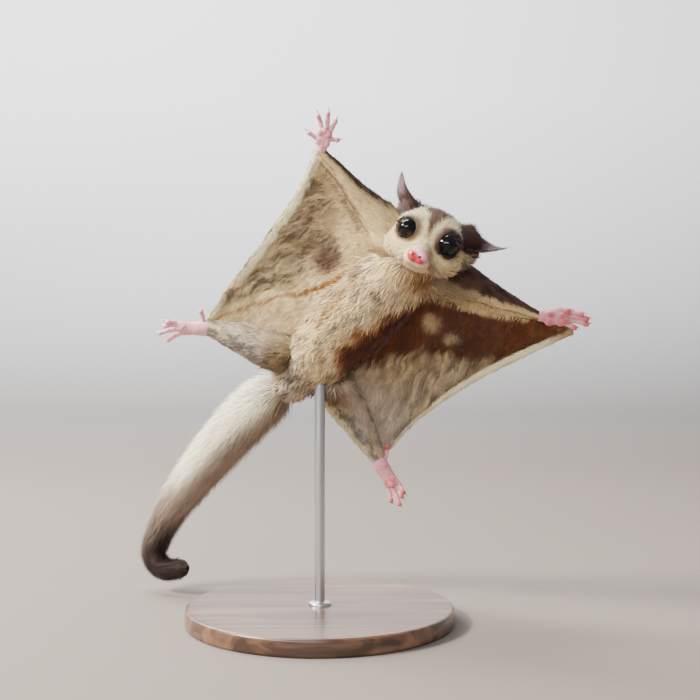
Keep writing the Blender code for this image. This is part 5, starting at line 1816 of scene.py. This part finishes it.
def make_nose():
    """The nose pad with its pebbled skin and dark nostrils."""
    look = plain_material("nose_skin", srgb(222, 128, 140), 0.28, Coat_Weight=0.5)
    shade(look, Base_Color=stored(look, "coat"))
    cells = add(look, "TexVoronoi", Vector=object_place(look), Scale=3000.0)
    relief(look, cells.outputs["Distance"], 0.5, 0.00015)
    rings, sides = NOSE_GRID
    ways = ball_ways(even_polar(rings), sides)
    reach = np.linspace(0.3, 6, 200)
    inside = nose_field(ways[:, None, :] * reach[None, :, None] + NOSE_AT) < 0
    last = reach[np.maximum(inside.shape[1] - 1 - inside[:, ::-1].argmax(1), 0)]
    verts, faces = closed_tube(ways * last[:, None] + NOSE_AT, rings, sides)
    nose = piece("nose_pad", head_to_body(verts), faces, look)
    holes = np.min([to_line(verts, [(1.15 * s, 24.7, -4.4), (2.3 * s, 23.7, -4.0)])
                    for s in (1, -1)], axis=0)
    set_tone(nose.data, layers(
        srgb(244, 178, 198),
        (srgb(206, 46, 58), step(-2.6, -4.4, verts[:, 2] - 0.5 * verts[:, 0])),
        (srgb(92, 30, 34), step(0.8, 0.4, holes) * 0.85)))
    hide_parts("nose")


def make_claws():
    """All claws as one piece."""
    look = plain_material("claw", srgb(226, 206, 186), 0.32, Coat_Weight=0.4)
    piece("claws", *join_shells(claw_shells), look)


def make_whiskers():
    """Fine tapered whiskers from both sides of the muzzle, over the eyes and on the cheeks."""
    look = plain_material("whisker", srgb(96, 80, 70), 0.4)
    seats = [((4.2, 17.0 - 1.5 * i, -5.2 - 1.1 * j), 15 + 3.0 * i - 2 * j)
             for i in range(4) for j in range(3)]
    seats += [((6.4, 11.5, 6.8), 11), ((7.2, 10.6, 7.0), 9), ((13.0, 4.0, -6.5), 12)]
    shells = []
    for side in (1, -1):
        for (x, y, z), length in seats:
            start = cast(unit(np.array([[x * side, y, z]])), bare_head)[0]
            out = unit(start - (0, 6.0, 0))
            way = unit(out * (1.0, 0.35, 0.9) + (0.5 * side, -0.25, draw.normal(0, 0.12)))
            bend = unit(np.array([0.1 * side, -1.0, -0.25]))
            knots = []
            for t in (0, 0.3, 0.6, 0.85, 1.0):
                spot = start - out * 0.4 + way * length * t + bend * length * 0.28 * t * t
                knots.append((*spot, *[WHISKER_RADIUS * (1 - 0.8 * t)] * 2))
            shells.append(Form(knots).shell(5, 1.0))
    verts, faces = join_shells(shells)
    piece("whiskers", head_to_body(verts), faces, look)


make_eyes()
make_nose()
make_claws()
make_whiskers()


def turned(name, profile, look, sides, at=(0.0, 0.0)):
    """A round piece from its outline of radii and heights, in millimetres of the row's frame."""
    turns = np.linspace(0, 2 * math.pi, sides, endpoint=False)
    verts = [(r * math.cos(a), r * math.sin(a), z) for r, z in profile for a in turns]
    verts, faces = closed_tube(np.array(verts), len(profile), sides)
    obj = piece(name, verts * MM, faces, look, in_row=False)
    obj.data.set_sharp_from_angle(angle=math.radians(40))
    obj.data.transform(Matrix.Translation((*at, 0)))
    return obj


def walnut():
    """Dark polished wood with its grain along the disc."""
    look = plain_material("walnut", (0.12, 0.055, 0.028), 0.34, Coat_Weight=0.35,
                          Coat_Roughness=0.18)
    stretch = add(look, "Mapping", Vector=object_place(look), Scale=(6.0, 90.0, 90.0),
                  Rotation=(0, 0, math.radians(24)))
    grain = add(look, "TexNoise", Vector=stretch.outputs["Vector"], Scale=1.6, Detail=8.0,
                Distortion=0.8).outputs["Fac"]
    shade(look, Base_Color=ramp(look, grain, (0.36, (0.045, 0.019, 0.010)),
                                (0.66, (0.20, 0.098, 0.050))))
    relief(look, grain, 0.12, 0.0002)
    return look


def brushed_steel():
    """Steel with fine streaks round the rod."""
    look = plain_material("steel", (0.60, 0.61, 0.63), 0.28, Metallic=1.0)
    stretch = add(look, "Mapping", Vector=object_place(look), Scale=(900, 900, 20))
    streaks = add(look, "TexNoise", Vector=stretch.outputs["Vector"], Scale=2.0)
    rough = add(look, "MapRange", Value=streaks.outputs["Fac"], To_Min=0.2, To_Max=0.42)
    shade(look, Roughness=rough.outputs["Result"])
    return look


def make_stand():
    """The disc, the rod and the collar at the rod's foot."""
    wood, steel = walnut(), brushed_steel()
    edge = [(BASE_RADIUS - BASE_BEVEL + BASE_BEVEL * math.sin(a),
             BASE_HEIGHT - BASE_BEVEL + BASE_BEVEL * math.cos(a))
            for a in np.linspace(0, math.pi / 2, 9)]
    foot = [(r, BASE_HEIGHT - z) for r, z in reversed(edge)]
    profile = [(1.0, BASE_HEIGHT), (BASE_RADIUS * 0.6, BASE_HEIGHT), *edge, *foot, (1.0, 0.0)]
    base = turned("base_disc", profile, wood, 240)
    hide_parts("stand_base")
    low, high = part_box("stand_rod")
    middle, top = (low + high) / 2, high.z / MM
    sunk = BASE_HEIGHT - ROD_SOCKET * 0.5
    profile = [(0.4, top), (ROD_RADIUS - 0.35, top), (ROD_RADIUS, top - 0.35),
               (ROD_RADIUS, BASE_HEIGHT + 0.05), (ROD_RADIUS, sunk), (0.4, sunk)]
    rod = turned("support_rod", profile, steel, 64, middle[:2])
    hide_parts("stand_rod")
    collar = ((ROD_RADIUS + 0.1, 0.0), (5.4, 0.0), (5.4, 0.8), (5.0, 1.3), (3.4, 1.7),
              (ROD_RADIUS + 0.1, 1.9))
    turned("rod_collar", [(r, BASE_HEIGHT + z) for r, z in collar], steel, 64, middle[:2])


make_stand()


def make_stage():
    """A pale floor that sweeps up into a pale wall behind the stand, in metres, its colour painted
    light and shade: darker by the floor, near white at the top.
    """
    near, flat_end, radius, high, wide = -1.6, 0.62, 0.5, 2.4, 2.6
    line = [(near, 0.0)] + [(y, 0.0) for y in np.linspace(near, flat_end, 14)[1:]]
    line += [(flat_end + radius * math.sin(a), radius - radius * math.cos(a))
             for a in np.linspace(0, math.pi / 2, 20)[1:]]
    line += [(flat_end + radius, z) for z in np.linspace(radius, high, 6)[1:]]
    verts = [(x, y, z) for y, z in line for x in (-wide, wide)]
    faces = [(2 * i, 2 * i + 1, 2 * i + 3, 2 * i + 2) for i in range(len(line) - 1)]
    look = plain_material("pale_sweep", (0.8, 0.79, 0.78), 0.9)
    # Colour by height, painted light and shade: darker and warmer by the floor, brightening to
    # near white at the top of the wall
    height = add(look, "SeparateXYZ", Vector=object_place(look)).outputs["Z"]
    span = add(look, "MapRange", Value=height, From_Max=0.5)
    shade(look, Base_Color=ramp(
        look, span.outputs["Result"], (0.0, srgb(128, 117, 109)), (0.10, srgb(124, 122, 120)),
        (0.4, srgb(186, 184, 185)), (1.0, srgb(252, 252, 255))))
    sweep = new_object("sweep", verts, faces, look, in_row=False)


def area_light(name, at, aim, size, power, color):
    """A rectangular lamp that faces a spot."""
    data = bpy.data.lights.new(name, "AREA")
    data.shape = "RECTANGLE"
    data.size, data.size_y = size
    data.energy = power
    data.color = color
    lamp = bpy.data.objects.new(name, data)
    lamp.location = at
    lamp.rotation_euler = (Vector(aim) - Vector(at)).to_track_quat("-Z", "Y").to_euler()
    bpy.context.collection.objects.link(lamp)


def make_light():
    """A dim sky, a key light, a wide fill, a wall light and a back light."""
    world = bpy.data.worlds.new("studio")
    bpy.context.scene.world = world
    world.use_nodes = True
    sky = world.node_tree.nodes["Background"].inputs
    sky["Color"].default_value = (0.86, 0.9, 1.0, 1)
    sky["Strength"].default_value = 0.42
    middle = (0.0, 0.0, 0.14)
    area_light("key", (-0.84, -0.34, 0.74), middle, (0.36, 0.14), 35.0, (1.0, 0.96, 0.89))
    area_light("window", (-0.32, -0.92, 0.46), middle, (0.8, 0.3), 7.5, (0.94, 0.97, 1.0))
    area_light("wall", (-0.5, 0.2, 1.5), (-0.35, 0.9, 0.6), (1.2, 0.4), 44.0, (0.98, 0.99, 1.0))
    area_light("back", (-0.5, 0.55, 0.7), middle, (0.4, 0.4), 8.0, (1.0, 1.0, 1.0))


def make_camera():
    """A camera level with the glider, straight in front of the stand."""
    data = bpy.data.cameras.new("camera")
    data.sensor_width = 36.0
    data.lens = 56.57
    data.clip_start = 0.01
    camera = bpy.data.objects.new("camera", data)
    camera.location = (0.014, -0.510, 0.126)
    camera.rotation_euler = (math.pi / 2, 0, 0)
    bpy.context.collection.objects.link(camera)
    bpy.context.scene.camera = camera


make_stage()
make_light()
make_camera()
